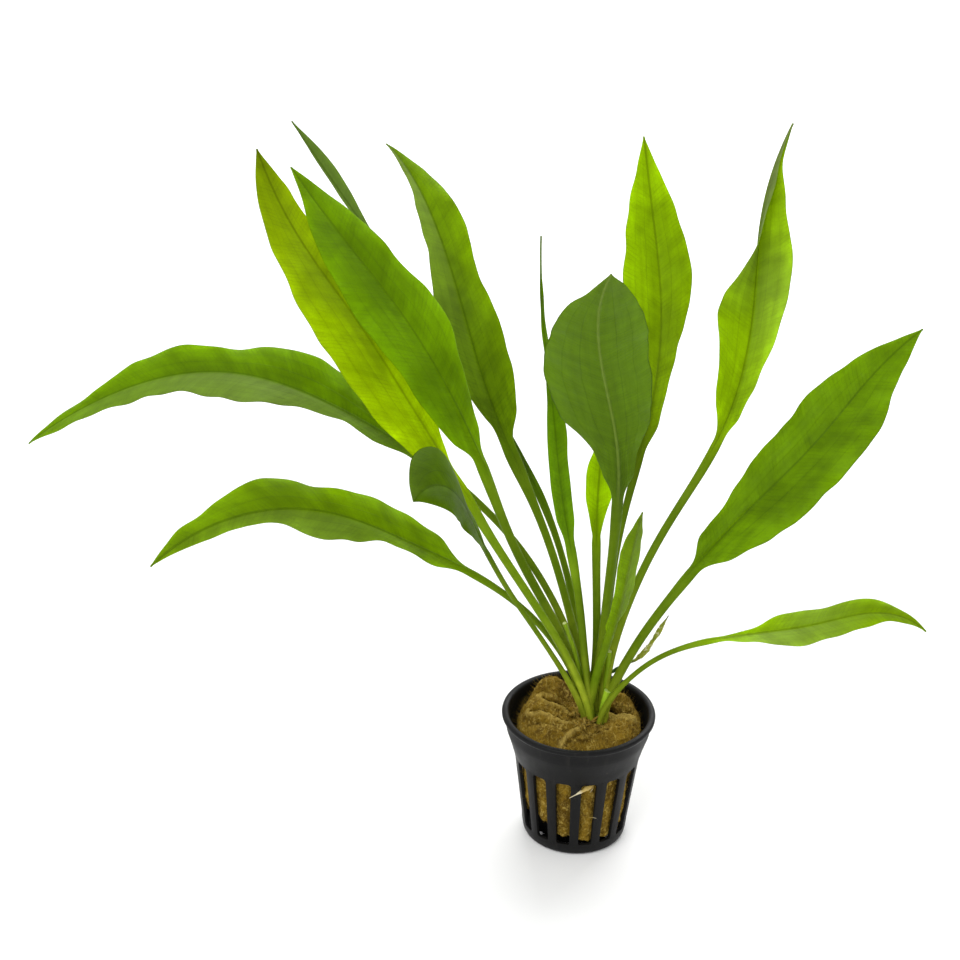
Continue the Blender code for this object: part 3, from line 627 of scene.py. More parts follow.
def makeLeaves():
    finishes = {key: leafMaterial("leafSkin_" + key, tone) for key, tone in tones.items()}
    for name, leaf in leaves.items():
        points, faces, places, sides = leafSkin(name, leaf)
        piece = newPiece(name + "_skin", points, faces, finishes[leaf["tone"]], [name])
        share, along = places[:, 0], places[:, 1]
        v = np.clip(along, 0, 1)
        # painted light and shade: each leaf's brightness from base to tip, painted light on its margins, and
        # the stalk's own painted brightness
        light = curveThrough(leaf.get("light", (1.0, 1.0, 1.0)), v)
        margins = leaf.get("marginLight", (0.0, 0.0))
        margin = np.where(share > 0, margins[0], margins[1]) * share ** 2
        light = light * (1 + margin * np.sin(np.pi * v))
        stalkLight, nearBlade = leaf.get("stalkLight", leafMake["stalkLight"]), easeStep((along + 0.3) / 0.3)
        light = np.where(along < 0, stalkLight + (light - stalkLight) * nearBlade, light)
        # painted whitish sheen on each half, from base to tip
        sheenLeft, sheenRight = leaf.get("paintedSheen", ((0, 0), (0, 0)))
        paintedSheen = np.where(share > 0, curveThrough(sheenLeft, v), curveThrough(sheenRight, v))
        paintedSheen = np.clip(paintedSheen * easeStep(np.abs(share) / 0.15), 0, 1)
        addAttribute(piece, "leafPlace", places)
        addAttribute(piece, "leafLooks", np.stack([sides, light, paintedSheen], 1))
        addAttribute(piece, "leafRun", np.where(along > 0, along * leaf["blade"], along * leaf["stalk"]))
    print("leaves made:", len(leaves))


# net pot: one sector of the shell, repeated round the axis

netPot = dict(
    slots=15, turn=10.0, share=0.6, slotHigh=33.0, slotLow=4.7, cornerHigh=1.3, cornerLow=0.7,
    baseOut=15.4, baseIn=7.0, baseCorner=0.8, discEdge=3.0, edgeRound=0.22, weld=0.01,
    # the slotted wall's radius at the slots' ends, both thicknesses, and the band left round each slot
    wallLow=19.1, wallHigh=22.7, wallThick=1.1, floorThick=1.2, margin=0.5,
    # heights, and the room inside the wall at each
    room=((0, 4.9, 33.2, 37.0, 43.2, 50.0), (16.0, 18.0, 21.6, 22.4, 24.5, 25.0)),
    # colours of the plastic, its scuffs and its dust
    dark=(0.0045, 0.0045, 0.0047), light=(0.0080, 0.0079, 0.0076), scuffed=(0.028, 0.026, 0.022),
    dusty=(0.10, 0.09, 0.07), gloss=0.13,
    # radius and height, from the top of the rim down to the slots, and from the slots to the base
    outside=((26.2, 50.0), (26.9, 49.93), (27.35, 49.6), (27.5, 49.1), (27.45, 48.6), (27.2, 48.2),
             (26.7, 47.97), (26.3, 47.8), (26.12, 47.4), (26.0, 46.4), (25.85, 44.6), (25.72, 43.3),
             (25.5, 42.5), (25.0, 41.0), (24.3, 38.8), (23.8, 37.2), (23.55, 36.2), (23.25, 35.2),
             (22.9, 34.0)),
    outsideLow=((19.02, 4.2), (18.9, 3.0), (18.62, 1.5), (18.2, 0.55), (17.7, 0.12), (17.2, 0.0)),
    inside=((26.2, 50.0), (25.65, 49.92), (25.2, 49.6), (24.98, 49.0), (24.9, 48.2), (24.75, 46.5),
            (24.6, 44.6), (24.45, 43.2), (24.2, 42.4), (23.7, 41.0), (23.0, 38.8), (22.5, 37.2),
            (22.3, 36.2), (22.1, 35.2), (21.8, 34.0)),
    insideLow=((17.92, 4.2), (17.75, 3.2), (17.4, 2.2), (17.0, 1.6), (16.5, 1.3), (16.2, 1.2)),
)
# places across a sector, -1 to 1, close together where a slot's corners turn
sectorPlaces = (-1.0, -0.9, -0.75, -0.58, -0.3, 0.0, 0.3, 0.58, 0.75, 0.9, 1.0)
windowPlaces = (0.0, 0.02, 0.045, 0.07, 0.2, 0.4, 0.6, 0.8, 0.93, 0.955, 0.98, 1.0)  # and down a slot


def slotNumber(angle):  # which slot stands at this turn from +X, counted round from the front
    return (math.degrees(angle) + 90.0 - netPot["turn"]) * netPot["slots"] / 360.0


def potSector():
    pot, margin = netPot, netPot["margin"]
    half = math.pi / pot["slots"]
    slotHalf = half * pot["share"]
    angles = [half * p for p in sectorPlaces]
    work = bmesh.new()
    found = {}

    def spot(angle, radius, height):
        key = (round(angle, 6), round(radius, 4), round(height, 4))
        if key not in found:
            turn = math.radians(pot["turn"] - 90.0) + angle
            point = (radius * math.cos(turn) * mm, radius * math.sin(turn) * mm, height * mm)
            found[key] = work.verts.new(point)
        return found[key]

    def face(corners):
        corners = list(dict.fromkeys(corners))
        if len(corners) > 2 and work.faces.get(corners) is None:
            work.faces.new(corners)

    def strip(line):
        for (r0, z0), (r1, z1) in zip(line, line[1:]):
            for a0, a1 in zip(angles, angles[1:]):
                face([spot(a0, r0, z0), spot(a1, r0, z0), spot(a1, r1, z1), spot(a0, r1, z1)])

    def window(corners, low, high, shell):
        # shell(height, side) gives radius and height, from low to high; the slot is left open
        lowCorner, highCorner = corners
        depths = [low + (high - low) * share for share in windowPlaces]
        span = depths[-1] - depths[0]
        border, hole = [], []

        def add(acrossShare, downShare):
            border.append((acrossShare * half, depths[0] - margin + downShare * (span + 2 * margin)))
            atLow = downShare < 0.5
            reach = shell(depths[0] + downShare * span, 0)[0]
            x, z = acrossShare * slotHalf * reach, depths[0] + downShare * span
            corner = lowCorner if atLow else highCorner
            cx, cz = slotHalf * reach - corner, (depths[0] + corner) if atLow else (depths[-1] - corner)
            if abs(x) > cx and (z < cz if atLow else z > cz):  # rounds the slot's corner
                dx, dz = abs(x) - cx, z - cz
                far = math.hypot(dx, dz) or 1.0
                x = math.copysign(cx + dx / far * corner, x)
                z = cz + dz / far * corner
            hole.append((x / reach, z))

        shares = [(d - depths[0]) / span for d in depths]
        for p in sectorPlaces[:-1]:
            add(p, 0.0)
        for share in shares[:-1]:
            add(1.0, share)
        for p in reversed(sectorPlaces[1:]):
            add(p, 1.0)
        for share in reversed(shares[1:]):
            add(-1.0, share)
        pairs = [(i, (i + 1) % len(border)) for i in range(len(border))]

        def pairOn(line, pair, side):
            return [spot(line[k][0], *shell(line[k][1], side)) for k in pair]

        for side in (0, 1):
            for pair in pairs:
                edge, lip = pairOn(border, pair, side), pairOn(hole, pair, side)
                face([edge[0], edge[1], lip[1], lip[0]])
        for pair in pairs:
            near, far = pairOn(hole, pair, 0), pairOn(hole, pair, 1)
            face([near[0], near[1], far[1], far[0]])

    wallRise = (pot["wallHigh"] - pot["wallLow"]) / (pot["slotHigh"] - pot["slotLow"])

    def wall(height, side):
        outside = pot["wallLow"] + (height - pot["slotLow"]) * wallRise
        return outside - (pot["wallThick"] if side else 0.0), height

    def floor(radius, side):
        return radius, pot["floorThick"] if side else 0.0

    for side, line in enumerate(("outside", "inside")):
        strip([*pot[line], wall(pot["slotHigh"] + margin, side)])
    window((pot["cornerLow"], pot["cornerHigh"]), pot["slotLow"], pot["slotHigh"], wall)
    for side, line in enumerate(("outsideLow", "insideLow")):
        strip([wall(pot["slotLow"] - margin, side), *pot[line][1:], floor(pot["baseOut"] + margin, side)])
    window((pot["baseCorner"], pot["baseCorner"]), pot["baseIn"], pot["baseOut"], floor)
    for side in (0, 1):  # the solid disc in the middle of the base
        radius, height = floor(pot["baseIn"] - margin, side)
        strip([(radius, height), (pot["discEdge"], height)])
        middle = spot(0.0, 0.0, height)
        for pair in zip(angles, angles[1:]):
            face([*(spot(angle, pot["discEdge"], height) for angle in pair), middle])
    mesh = bpy.data.meshes.new("potSector")
    work.to_mesh(mesh)
    work.free()
    return mesh


def newTree(name, sizes):  # sizes: each further input's name and kind
    tree = bpy.data.node_groups.new(name, "GeometryNodeTree")
    for label, kind in (("Geometry", "Geometry"), *sizes, ("Material", "Material")):
        tree.interface.new_socket(label, in_out="INPUT", socket_type="NodeSocket" + kind)
    tree.interface.new_socket("Geometry", in_out="OUTPUT", socket_type="NodeSocketGeometry")
    return tree, addNode(tree, "NodeGroupInput").outputs


def endTree(tree, shape, given):
    finished = addNode(tree, "GeometryNodeSetMaterial", {"Geometry": shape, "Material": given["Material"]})
    tree.links.new(finished.outputs[0], addNode(tree, "NodeGroupOutput").inputs[0])
    return tree


def roundTree():
    tree, given = newTree("repeatRound", (("Count", "Int"), ("Weld", "Float")))
    step = calc(tree, "DIVIDE", 2 * math.pi, given["Count"])
    index = addNode(tree, "GeometryNodeInputIndex").outputs[0]
    turn = addNode(tree, "ShaderNodeCombineXYZ", {2: times(tree, index, step)})
    spin = addNode(tree, "FunctionNodeEulerToRotation", {0: turn.outputs[0]})
    points = addNode(tree, "GeometryNodePoints", {"Count": given["Count"]})
    copies = addNode(tree, "GeometryNodeInstanceOnPoints", {
        "Points": points.outputs[0], "Instance": given["Geometry"], "Rotation": spin.outputs[0]})
    solid = addNode(tree, "GeometryNodeRealizeInstances", {0: copies.outputs[0]})
    joined = addNode(tree, "GeometryNodeMergeByDistance", {
        "Geometry": solid.outputs[0], "Distance": given["Weld"]})
    return endTree(tree, joined.outputs[0], given)


def runTree(carrier, tree, values):  # adds the tree to carrier with its named inputs set
    modifier = carrier.modifiers.new(tree.name, "NODES")
    modifier.node_group = tree
    for item in tree.interface.items_tree:
        if item.item_type == "SOCKET" and item.in_out == "INPUT" and item.name in values:
            modifier[item.identifier] = values[item.name]
    return modifier


def bakedMesh(carrier, name):  # the evaluated result as a plain mesh, and the carrier gone
    carrier.data.update()
    bpy.context.view_layer.update()
    graph = bpy.context.evaluated_depsgraph_get()
    mesh = bpy.data.meshes.new_from_object(carrier.evaluated_get(graph))
    carrier.modifiers.clear()
    bpy.data.objects.remove(carrier, do_unlink=True)
    mesh.name = name
    return mesh


def carrierFor(mesh, name):
    carrier = bpy.data.objects.new(name, mesh)
    bpy.context.scene.collection.objects.link(carrier)
    return carrier


def faceOutwards(mesh):
    work = bmesh.new()
    work.from_mesh(mesh)
    bmesh.ops.recalc_face_normals(work, faces=work.faces)
    if work.calc_volume(signed=True) < 0:
        bmesh.ops.reverse_faces(work, faces=work.faces)
    work.to_mesh(mesh)
    work.free()


def potMaterial():
    made, tree, body, spot = newMaterial("potPlastic")
    fine = noiseAt(tree, spot, 900.0, 3.0)
    cloudy = noiseAt(tree, spot, 60.0, 4.0, 0.6, 0.3)
    scuffs = addNode(tree, "ShaderNodeMapping", {"Vector": spot, "Scale": (1.0, 1.0, 0.18)})
    streaky = noiseAt(tree, scuffs.outputs[0], 420.0, 3.0, 0.6)
    dust = addNode(tree, "ShaderNodeTexVoronoi", {"Vector": spot, "Scale": 520.0})
    rare = ramp(tree, noiseAt(tree, spot, 300.0, 2.0), 0.60, 0.70)
    speck = times(tree, ramp(tree, dust.outputs["Distance"], 0.05, 0.16, 1.0, 0.0), rare)
    base = blendColours(tree, ramp(tree, cloudy, 0.3, 0.7), netPot["dark"], netPot["light"])
    base = blendColours(tree, ramp(tree, streaky, 0.55, 0.8, 0.0, 0.35), base, netPot["scuffed"])
    base = layColours(tree, base, ((speck, 0.55, netPot["dusty"]),))
    tree.links.new(base, body.inputs["Base Color"])
    tree.links.new(ramp(tree, cloudy, 0.3, 0.7, 0.40, 0.58), body.inputs["Roughness"])
    body.inputs["Specular IOR Level"].default_value = netPot["gloss"]
    height = calc(tree, "MULTIPLY_ADD", fine, 0.6, times(tree, streaky, 0.5))
    addBump(tree, body, height, strength=0.25, distance=0.2 * mm)
    return made


def makePot():
    finish = potMaterial()
    carrier = carrierFor(potSector(), "potCarrier")
    runTree(carrier, roundTree(), {"Count": netPot["slots"], "Weld": netPot["weld"] * mm, "Material": finish})
    bevel = carrier.modifiers.new("softEdges", "BEVEL")
    bevel.width, bevel.segments, bevel.limit_method = netPot["edgeRound"] * mm, 2, "ANGLE"
    bevel.angle_limit = math.radians(50)
    mesh = bakedMesh(carrier, "net_pot_shell")
    faceOutwards(mesh)
    mesh.shade_smooth()
    mesh.set_sharp_from_angle(angle=math.radians(40))
    addPiece("net_pot_shell", mesh, ["net_pot"])
    print("pot made:", len(mesh.polygons), "faces")


# mineral wool

wool = dict(
    level=46.0, rest=1.7, rings=64, sideRings=84, columns=288, crown=(5.4, 1.4),
    shoulderDrop=2.0, dropFrom=0.78, tuck=2.5, tuckFrom=0.95,  # how the shoulder and the foot turn over
    under=((0.93, 0.35), (0.88, 0.8), (0.84, 1.0), (0.5, 1.0), (0.2, 1.0)),  # share of radius and of drop
    foot=8.5, bare=4.5,  # the underside where no slot shows it, and the height below which no fibre grows
    # dark, middle and light colour of the body and of the loose strands, and the near-black painted shade of
    # the underside
    body=((0.092, 0.050, 0.003), (0.240, 0.147, 0.012), (0.53, 0.38, 0.09)),
    strands=((0.17, 0.10, 0.010), (0.34, 0.22, 0.03), (0.56, 0.42, 0.12)), underShade=(0.0015, 0.0013, 0.001),
    # radius of the shoulder at each twelfth of a turn, from +X round to +Y
    shoulder=(22.4, 22.6, 21.6, 21.4, 23.2, 20.8, 21.2, 21.6, 21.9, 22.2, 22.3, 22.6),
    # lumps of the top: x, y, spread along x and y, height
    lumps=((2.6, -6.4, 1.9, 1.2, 1.5), (-11.0, 18.5, 6.0, 6.0, 7.2), (-14.5, 4.5, 5.5, 5.0, 3.2),
           (15.5, 10.5, 4.5, 5.0, 4.6), (15.0, -6.5, 6.0, 5.0, 1.2), (-7.0, -9.5, 6.0, 5.0, 1.8),
           (0.0, -15.5, 7.0, 3.0, 0.8)),
    # roughness of the top: closeness, seed, fading, spacing and height of each layer
    grain=((0.22, 3.0, 0.7, 2.1, 0.8), (0.75, 7.0, 0.75, 2.2, 0.42)),
    lips=(0.1, 0.45),  # how high a fold's lower and upper lip stand, as a share of its depth
    # folds: from, to, depth and width
    folds=(((-16.4, 1.6), (-1.0, -3.0), 2.7, 0.8), ((-12.0, 8.5), (-1.5, 4.0), 1.5, 0.9),
           ((3.2, -7.5), (-1.2, -12.4), 2.2, 0.8), ((-1.2, -12.4), (-5.0, -17.5), 2.2, 0.9),
           ((10.5, 3.8), (17.6, 1.6), 3.2, 1.3), ((6.0, -9.5), (15.0, -5.0), 1.1, 0.6),
           ((-17.5, -4.0), (-8.0, -5.5), 0.7, 1.2), ((-18.0, 10.0), (-11.0, 11.5), 0.9, 1.0)),
    torn=((3.0, -5.0, 4.2), (-3.5, 3.0, 3.0), (8.5, -6.5, 2.6)),  # ragged places: x, y, reach
    side=((22.2, 44.5), (22.4, 42.0), (21.4, 38.0), (20.7, 34.0), (20.4, 30.0), (19.2, 18.0), (18.1, 8.0)),
    # height of the underside in each slot that shows, by the slot's number
    feet={0: 5.0, 1: 4.6, 2: 7.0, 13: 11.0, 14: 6.5, 12: 13.5},
)


def foldDepth(x, y):
    total = 0.0
    lowLip, highLip = wool["lips"]
    for (x0, y0), (x1, y1), depth, width in wool["folds"]:
        along = ((x - x0) * (x1 - x0) + (y - y0) * (y1 - y0)) / ((x1 - x0) ** 2 + (y1 - y0) ** 2)
        along = min(max(along, 0.0), 1.0)
        bend = 1.2 * math.sin(along * math.pi * 2.3 + x0)
        gap = math.hypot(x - x0 - (x1 - x0) * along + bend * 0.4, y - y0 - (y1 - y0) * along + bend * 0.6)
        total += depth * math.exp(-(gap / (0.7 * width)) ** 2)
        lip = highLip if (x - x0) * (y1 - y0) - (y - y0) * (x1 - x0) > 0 else lowLip
        total -= depth * lip * math.exp(-((gap - 1.9 * width) / (1.3 * width)) ** 2)
    return total


def woolTop(x, y):
    lift = sum(high * math.exp(-((x - a) / wide) ** 2 / 2 - ((y - b) / deep) ** 2 / 2)
               for a, b, wide, deep, high in wool["lumps"])
    rough = sum(noise.fractal(Vector((x * close, y * close, seed)), fading, spacing, 4) * high
                for close, seed, fading, spacing, high in wool["grain"])
    for a, b, reach in wool["torn"]:
        near = math.exp(-((x - a) ** 2 + (y - b) ** 2) / reach ** 2)
        rough += near * (0.5 + 1.1 * noise.fractal(Vector((x * 1.3, y * 1.3, 11.0)), 0.8, 2.3, 3))
    return wool["level"] + lift + rough - foldDepth(x, y)


def woolSide(angle, height):
    rows = wool["side"]
    base = np.interp(height, [z for r, z in reversed(rows)], [r for r, z in reversed(rows)])
    inSlot = math.cos(2 * math.pi * slotNumber(angle)) * (1 if 5 < height < 34 else 0)
    point = Vector((math.cos(angle) * 4.2, math.sin(angle) * 4.2, height * 0.22))
    rough = noise.fractal(point, 0.7, 2.1, 4) * 0.55 + noise.fractal(point * 4.0, 0.6, 2.2, 3) * 0.18
    return base + rough + 0.55 * max(inSlot, -0.4)


def woolFoot(angle):
    turn = slotNumber(angle) % netPot["slots"]
    near = int(turn)
    low, high = (wool["feet"].get((near + k) % netPot["slots"], wool["foot"]) for k in (0, 1))
    even = low + (high - low) * float(easeStep((turn - near - 0.3) / 0.4))
    return even + 1.2 * noise.noise(Vector((math.cos(angle) * 9.0, math.sin(angle) * 9.0, 1.0)))


def woolSkin():
    cx, cy = wool["crown"]
    columns = wool["columns"]
    angles = [2 * math.pi * i / columns for i in range(columns)]
    rings = []
    reach = [*wool["shoulder"], wool["shoulder"][0]]
    shoulders = curveThrough(reach, np.array(angles) / (2 * math.pi))
    shoulders = [r + 0.5 * noise.noise(Vector((math.cos(a) * 3, math.sin(a) * 3, 5.0)))
                 for r, a in zip(shoulders, angles)]
    for k in range(1, wool["rings"] + 1):
        share = k / wool["rings"]
        ring = []
        for a, reach in zip(angles, shoulders):
            x = cx * (1 - share) + reach * math.cos(a) * share
            y = cy * (1 - share) + reach * math.sin(a) * share
            drop = wool["shoulderDrop"] * (max(0.0, share - wool["dropFrom"]) / (1 - wool["dropFrom"])) ** 2
            ring.append((x, y, woolTop(x, y) - drop))
        rings.append(ring)
    rim = rings[-1]
    for k in range(1, wool["sideRings"] + 1):
        share = k / wool["sideRings"]
        ring = []
        for i, a in enumerate(angles):
            foot = woolFoot(a)
            height = rim[i][2] + (foot - rim[i][2]) * share
            radius = woolSide(a, height)
            start = math.hypot(rim[i][0], rim[i][1])
            mixed = start + (radius - start) * min(1.0, share / 0.10) ** 0.5
            tuck = wool["tuck"] * (max(0.0, share - wool["tuckFrom"]) / (1 - wool["tuckFrom"])) ** 2
            ring.append((math.cos(a) * (mixed - tuck), math.sin(a) * (mixed - tuck), height))
        rings.append(ring)
    edge = rings[-1]
    for reach, drop in wool["under"]:
        rings.append([(x * reach, y * reach, z + (wool["rest"] - z) * drop) for x, y, z in edge])
    points = np.array([p for ring in rings for p in ring])
    last = np.array(rings[-1]).mean(0)
    points = np.vstack([points, [cx, cy, woolTop(cx, cy)], last])
    lit = np.array([1 - 0.6 * foldDepth(x, y) for x, y, z in points])  # painted shade in the creases and painted light on their lips
    # lighter near the torn places
    for a, b, reach in wool["torn"]:
        lit += 0.55 * np.exp(-((points[:, 0] - a) ** 2 + (points[:, 1] - b) ** 2) / (0.6 * reach) ** 2)
    # the sides keep the plain colour, and the underside and its end point get the near-black painted shade
    lit[wool["rings"] * columns:-2] = 1.0
    lit = np.clip(lit, 0.1, 1.6)
    lit[(wool["rings"] + wool["sideRings"]) * columns:-2] = 0.0
    lit[-1] = 0.0
    return points, ringFaces(len(rings), columns), lit


def woolMaterial(name, dark, middle, light, underShade=None):
    made, tree, body, spot = newMaterial(name)
    broad = noiseAt(tree, spot, 130.0, 5.0, 0.68, 0.8)
    bits = noiseAt(tree, spot, 700.0, 4.0, 0.7)
    flat = addNode(tree, "ShaderNodeMapping", {
        "Vector": spot, "Rotation": (0.3, 0.2, 0.7), "Scale": (1.0, 0.4, 0.7)})
    combed = noiseAt(tree, flat.outputs[0], 620.0, 4.0, 0.65, 1.8)
    base = blendColours(tree, ramp(tree, broad, 0.32, 0.62), dark, middle)
    base = blendColours(tree, ramp(tree, combed, 0.48, 0.72, 0.0, 0.75), base, light)
    base = blendColours(tree, ramp(tree, bits, 0.30, 0.46, 0.6, 0.0), base, shaded(dark, 0.4))
    if underShade:  # painted shade: near black underneath, and darker in the top's creases; painted light on the creases' lips
        lit = attributeOf(tree, "woolLit")
        base = blendColours(tree, ramp(tree, lit, 0.0, 1.0), underShade, base)
        # painted light on the lips of the folds
        base = blendColours(tree, ramp(tree, lit, 1.05, 1.6, 0.0, 0.6), base, light)
    tree.links.new(base, body.inputs["Base Color"])
    body.inputs["Roughness"].default_value = 0.9
    body.inputs["Specular IOR Level"].default_value = 0.1
    height = calc(tree, "MULTIPLY_ADD", combed, 0.8, bits)
    addBump(tree, body, height, strength=1.0, distance=1.1 * mm)
    return made


fibres = dict(
    density=700000.0, least=0.4, most=1.1, seed=7, length=2.6, thick=0.045, bend=0.6, lean=2.6,
    rows=4, sides=3, root=0.3,
)
shreds = dict(
    # where torn scraps stand: x, y, reach and how many
    spots=((2.6, -6.4, 2.8, 70), (-2.0, 2.6, 2.0, 14), (7.2, -7.6, 2.4, 16), (3.4, -10.6, 1.6, 12),
           (-9.0, -1.6, 4.5, 14), (15.0, 3.0, 2.5, 8)),
    half=(0.16, 0.55), length=(1.4, 4.4), seed=5,
)


def fibreTree():
    floats = [(label, "Float") for label in ("Density", "Least", "Most", "Lean")]
    tree, given = newTree("scatterFibres", (("Fibre", "Object"), *floats, ("Seed", "Int")))
    spread = addNode(tree, "GeometryNodeDistributePointsOnFaces", {
        "Mesh": given["Geometry"], "Density": given["Density"], "Seed": given["Seed"]})
    turn = addNode(tree, "FunctionNodeRandomValue", {7: given["Seed"]}, data_type="FLOAT_VECTOR")
    turn.inputs[0].default_value = (-1.0, -1.0, -1.0)
    turn.inputs[1].default_value = (1.0, 1.0, 1.0)
    lean = addNode(tree, "ShaderNodeVectorMath", {0: turn.outputs[0], 3: given["Lean"]}, operation="SCALE")
    aim = addNode(tree, "ShaderNodeVectorMath", {
        0: spread.outputs["Normal"], 1: lean.outputs[0]}, operation="ADD")
    along = addNode(tree, "FunctionNodeAlignRotationToVector", {"Vector": aim.outputs[0]}, axis="Z")
    size = addNode(tree, "FunctionNodeRandomValue", {
        2: given["Least"], 3: given["Most"], 8: given["Seed"]}, data_type="FLOAT")
    shape = addNode(tree, "GeometryNodeObjectInfo", {"Object": given["Fibre"]})
    copies = addNode(tree, "GeometryNodeInstanceOnPoints", {
        "Points": spread.outputs["Points"], "Instance": shape.outputs["Geometry"],
        "Rotation": along.outputs[0], "Scale": size.outputs[1]})
    solid = addNode(tree, "GeometryNodeRealizeInstances", {0: copies.outputs[0]})
    return endTree(tree, solid.outputs[0], given)


def fibreShape():
    rows, sides, root = fibres["rows"], fibres["sides"], fibres["root"]
    points = []
    for k in range(rows):
        share = k / (rows - 1)
        thick = fibres["thick"] * (1 - 0.7 * share)
        for i in range(sides):
            a = 2 * math.pi * i / sides
            points.append((thick * math.cos(a) + fibres["bend"] * share ** 2, thick * math.sin(a),
                           fibres["length"] * share - root))
    points += [(0.0, 0.0, -root - 0.05), (fibres["bend"], 0.0, fibres["length"] - root + 0.05)]
    mesh = bpy.data.meshes.new("fibreShape")
    mesh.from_pydata([[c * mm for c in p] for p in points], [], ringFaces(rows, sides))
    return carrierFor(mesh, "fibreShape")


def makeWool():
    finish = woolMaterial("mineralWool", *wool["body"], wool["underShade"])
    points, faces, lit = woolSkin()
    piece = newPiece("rock_wool_body", points, faces, finish, ["rock_wool_plug"])
    addAttribute(piece, "woolLit", lit)
    fibre = fibreShape()
    carrier = carrierFor(piece.data.copy(), "fibreCarrier")
    strands = woolMaterial("woolStrands", *wool["strands"])
    values = {key.capitalize(): fibres[key] for key in ("density", "least", "most", "lean", "seed")}
    runTree(carrier, fibreTree(), {**values, "Fibre": fibre, "Material": strands})
    mesh = bakedMesh(carrier, "rock_wool_fibres")
    bpy.data.objects.remove(fibre, do_unlink=True)
    keepFibres(mesh)
    mesh.shade_smooth()
    addPiece("rock_wool_fibres", mesh, [])
    points, faces, _ = manyStems(shredPlaces(), sides=10, rings=14)
    newPiece("rock_wool_shreds", points, faces, strands, [])
    print("wool made:", len(faces), "scrap faces,", len(mesh.polygons), "fibre faces")


def shredPlaces():  # torn scraps of wool standing up round the foot of the plant
    draw = random.Random(shreds["seed"])
    rows = []
    for x, y, reach, count in shreds["spots"]:
        for _ in range(count):
            turn, far = draw.uniform(0, 360), reach * draw.random() ** 0.6
            a, b = x + far * math.cos(math.radians(turn)), y + far * math.sin(math.radians(turn))
            lean, way = draw.uniform(-15, 45), draw.uniform(0, 360)
            thick = draw.uniform(*shreds["half"])
            rows.append(((a, b, woolTop(a, b) - 0.2), draw.uniform(*shreds["length"]),
                         (lean, lean + draw.uniform(-30, 15), lean + draw.uniform(-60, 20)),
                         (way, way + draw.uniform(-40, 40), way + draw.uniform(-80, 80)),
                         (thick, thick * 1.1, thick * 0.7, 0.08), 0.6))
    return rows


def keepFibres(mesh):  # drops the fibres that would pass through the pot's wall
    work = bmesh.new()
    work.from_mesh(mesh)
    work.verts.ensure_lookup_table()
    size = fibres["rows"] * fibres["sides"] + 2  # the points of one fibre
    gone = []
    for first in range(0, len(work.verts), size):
        strand = work.verts[first:first + size]
        if any(outsidePot(v.co) for v in strand):
            gone += strand
    bmesh.ops.delete(work, geom=gone, context="VERTS")
    work.to_mesh(mesh)
    work.free()


def outsidePot(point):  # also true low down, where the underside stays bare
    radius, height = math.hypot(point.x, point.y) / mm, point.z / mm
    if height < wool["bare"] or height < woolFoot(math.atan2(point.y, point.x)) + 0.4:
        return True
    inner = float(np.interp(height, *netPot["room"]))
    turn = slotNumber(math.atan2(point.y, point.x))
    inSlot = (abs(turn - round(turn)) < netPot["share"] / 2 * 0.86
              and netPot["slotLow"] + 0.6 < height < netPot["slotHigh"] - 0.8)
    return radius > inner - 0.15 + (1.6 if inSlot else 0.0)


# crown, cut stalks, dry stalk and root

stems = {
    # at: start; length, rise, turn: as for the leaves; half: half thickness along the stem; flat: how flat
    # it is; twist: turns along it; lumps: their depth and closeness; cut: whether it ends in a cut face
    "cut_stalk_left": dict(
        at=(3.1, 0.6, 44.5), length=42.5, rise=(86, 80, 74, 69), turn=(178, 180, 182, 184),
        half=(1.3, 1.0, 0.95, 0.9), flat=0.85, twist=0.0, lumps=(0.05, 0.25), cut=True, finish="cut"),
    "cut_stalk_right": dict(
        at=(8.6, 0.3, 44.5), length=30.0, rise=(88, 88, 87, 86), turn=(10, 10, 10, 10),
        half=(1.4, 1.15, 1.1, 1.1), flat=0.85, twist=0.0, lumps=(0.05, 0.25), cut=True, finish="cut"),
    "cut_stalk_front": dict(
        at=(6.9, -2.6, 44.0), length=16.0, rise=(81, 80, 78, 76), turn=(10, 10, 10, 10),
        half=(1.1, 1.1, 1.35, 1.5), flat=0.9, twist=0.0, lumps=(0.06, 0.3), cut=True, finish="cutBright"),
    "dry_stalk": dict(
        at=(8.0, 6.6, 45.0), length=48.6, rise=(100, 92, 60, 26, 35, 58, 62, 62), turn=(18, 10, 10, 16),
        half=(1.0, 0.75, 0.65, 0.6, 0.8, 1.1, 0.95, 0.3), flat=0.55, twist=2.2, lumps=(0.45, 0.75), cut=False,
        finish="withered"),
}
stemFinishes = {
    # material's name; colours of the foot, the middle, the end and the cut face; gloss; spots of the end
    "cut": ("cutStalk", (0.26, 0.36, 0.015), (0.20, 0.33, 0.003), (0.22, 0.35, 0.004), (0.40, 0.46, 0.16)),
    "cutBright": ("cutStalkBright", (0.24, 0.31, 0.02), (0.25, 0.40, 0.01), (0.33, 0.52, 0.02),
                  (0.46, 0.60, 0.15)),
    "withered": ("witheredStalk", (0.05, 0.10, 0.005), (0.035, 0.085, 0.004), (0.30, 0.33, 0.030),
                 (0.1, 0.08, 0.02), 0.2, (0.66, 0.62, 0.36)),
    "pale": ("rootSkin", (0.33, 0.21, 0.04), (0.48, 0.35, 0.10), (0.62, 0.55, 0.36), (0.6, 0.5, 0.3), 0.3),
    "sheath": ("crownSheath", (0.24, 0.30, 0.04), (0.24, 0.31, 0.03), (0.24, 0.32, 0.03), (0.3, 0.36, 0.06)),
}
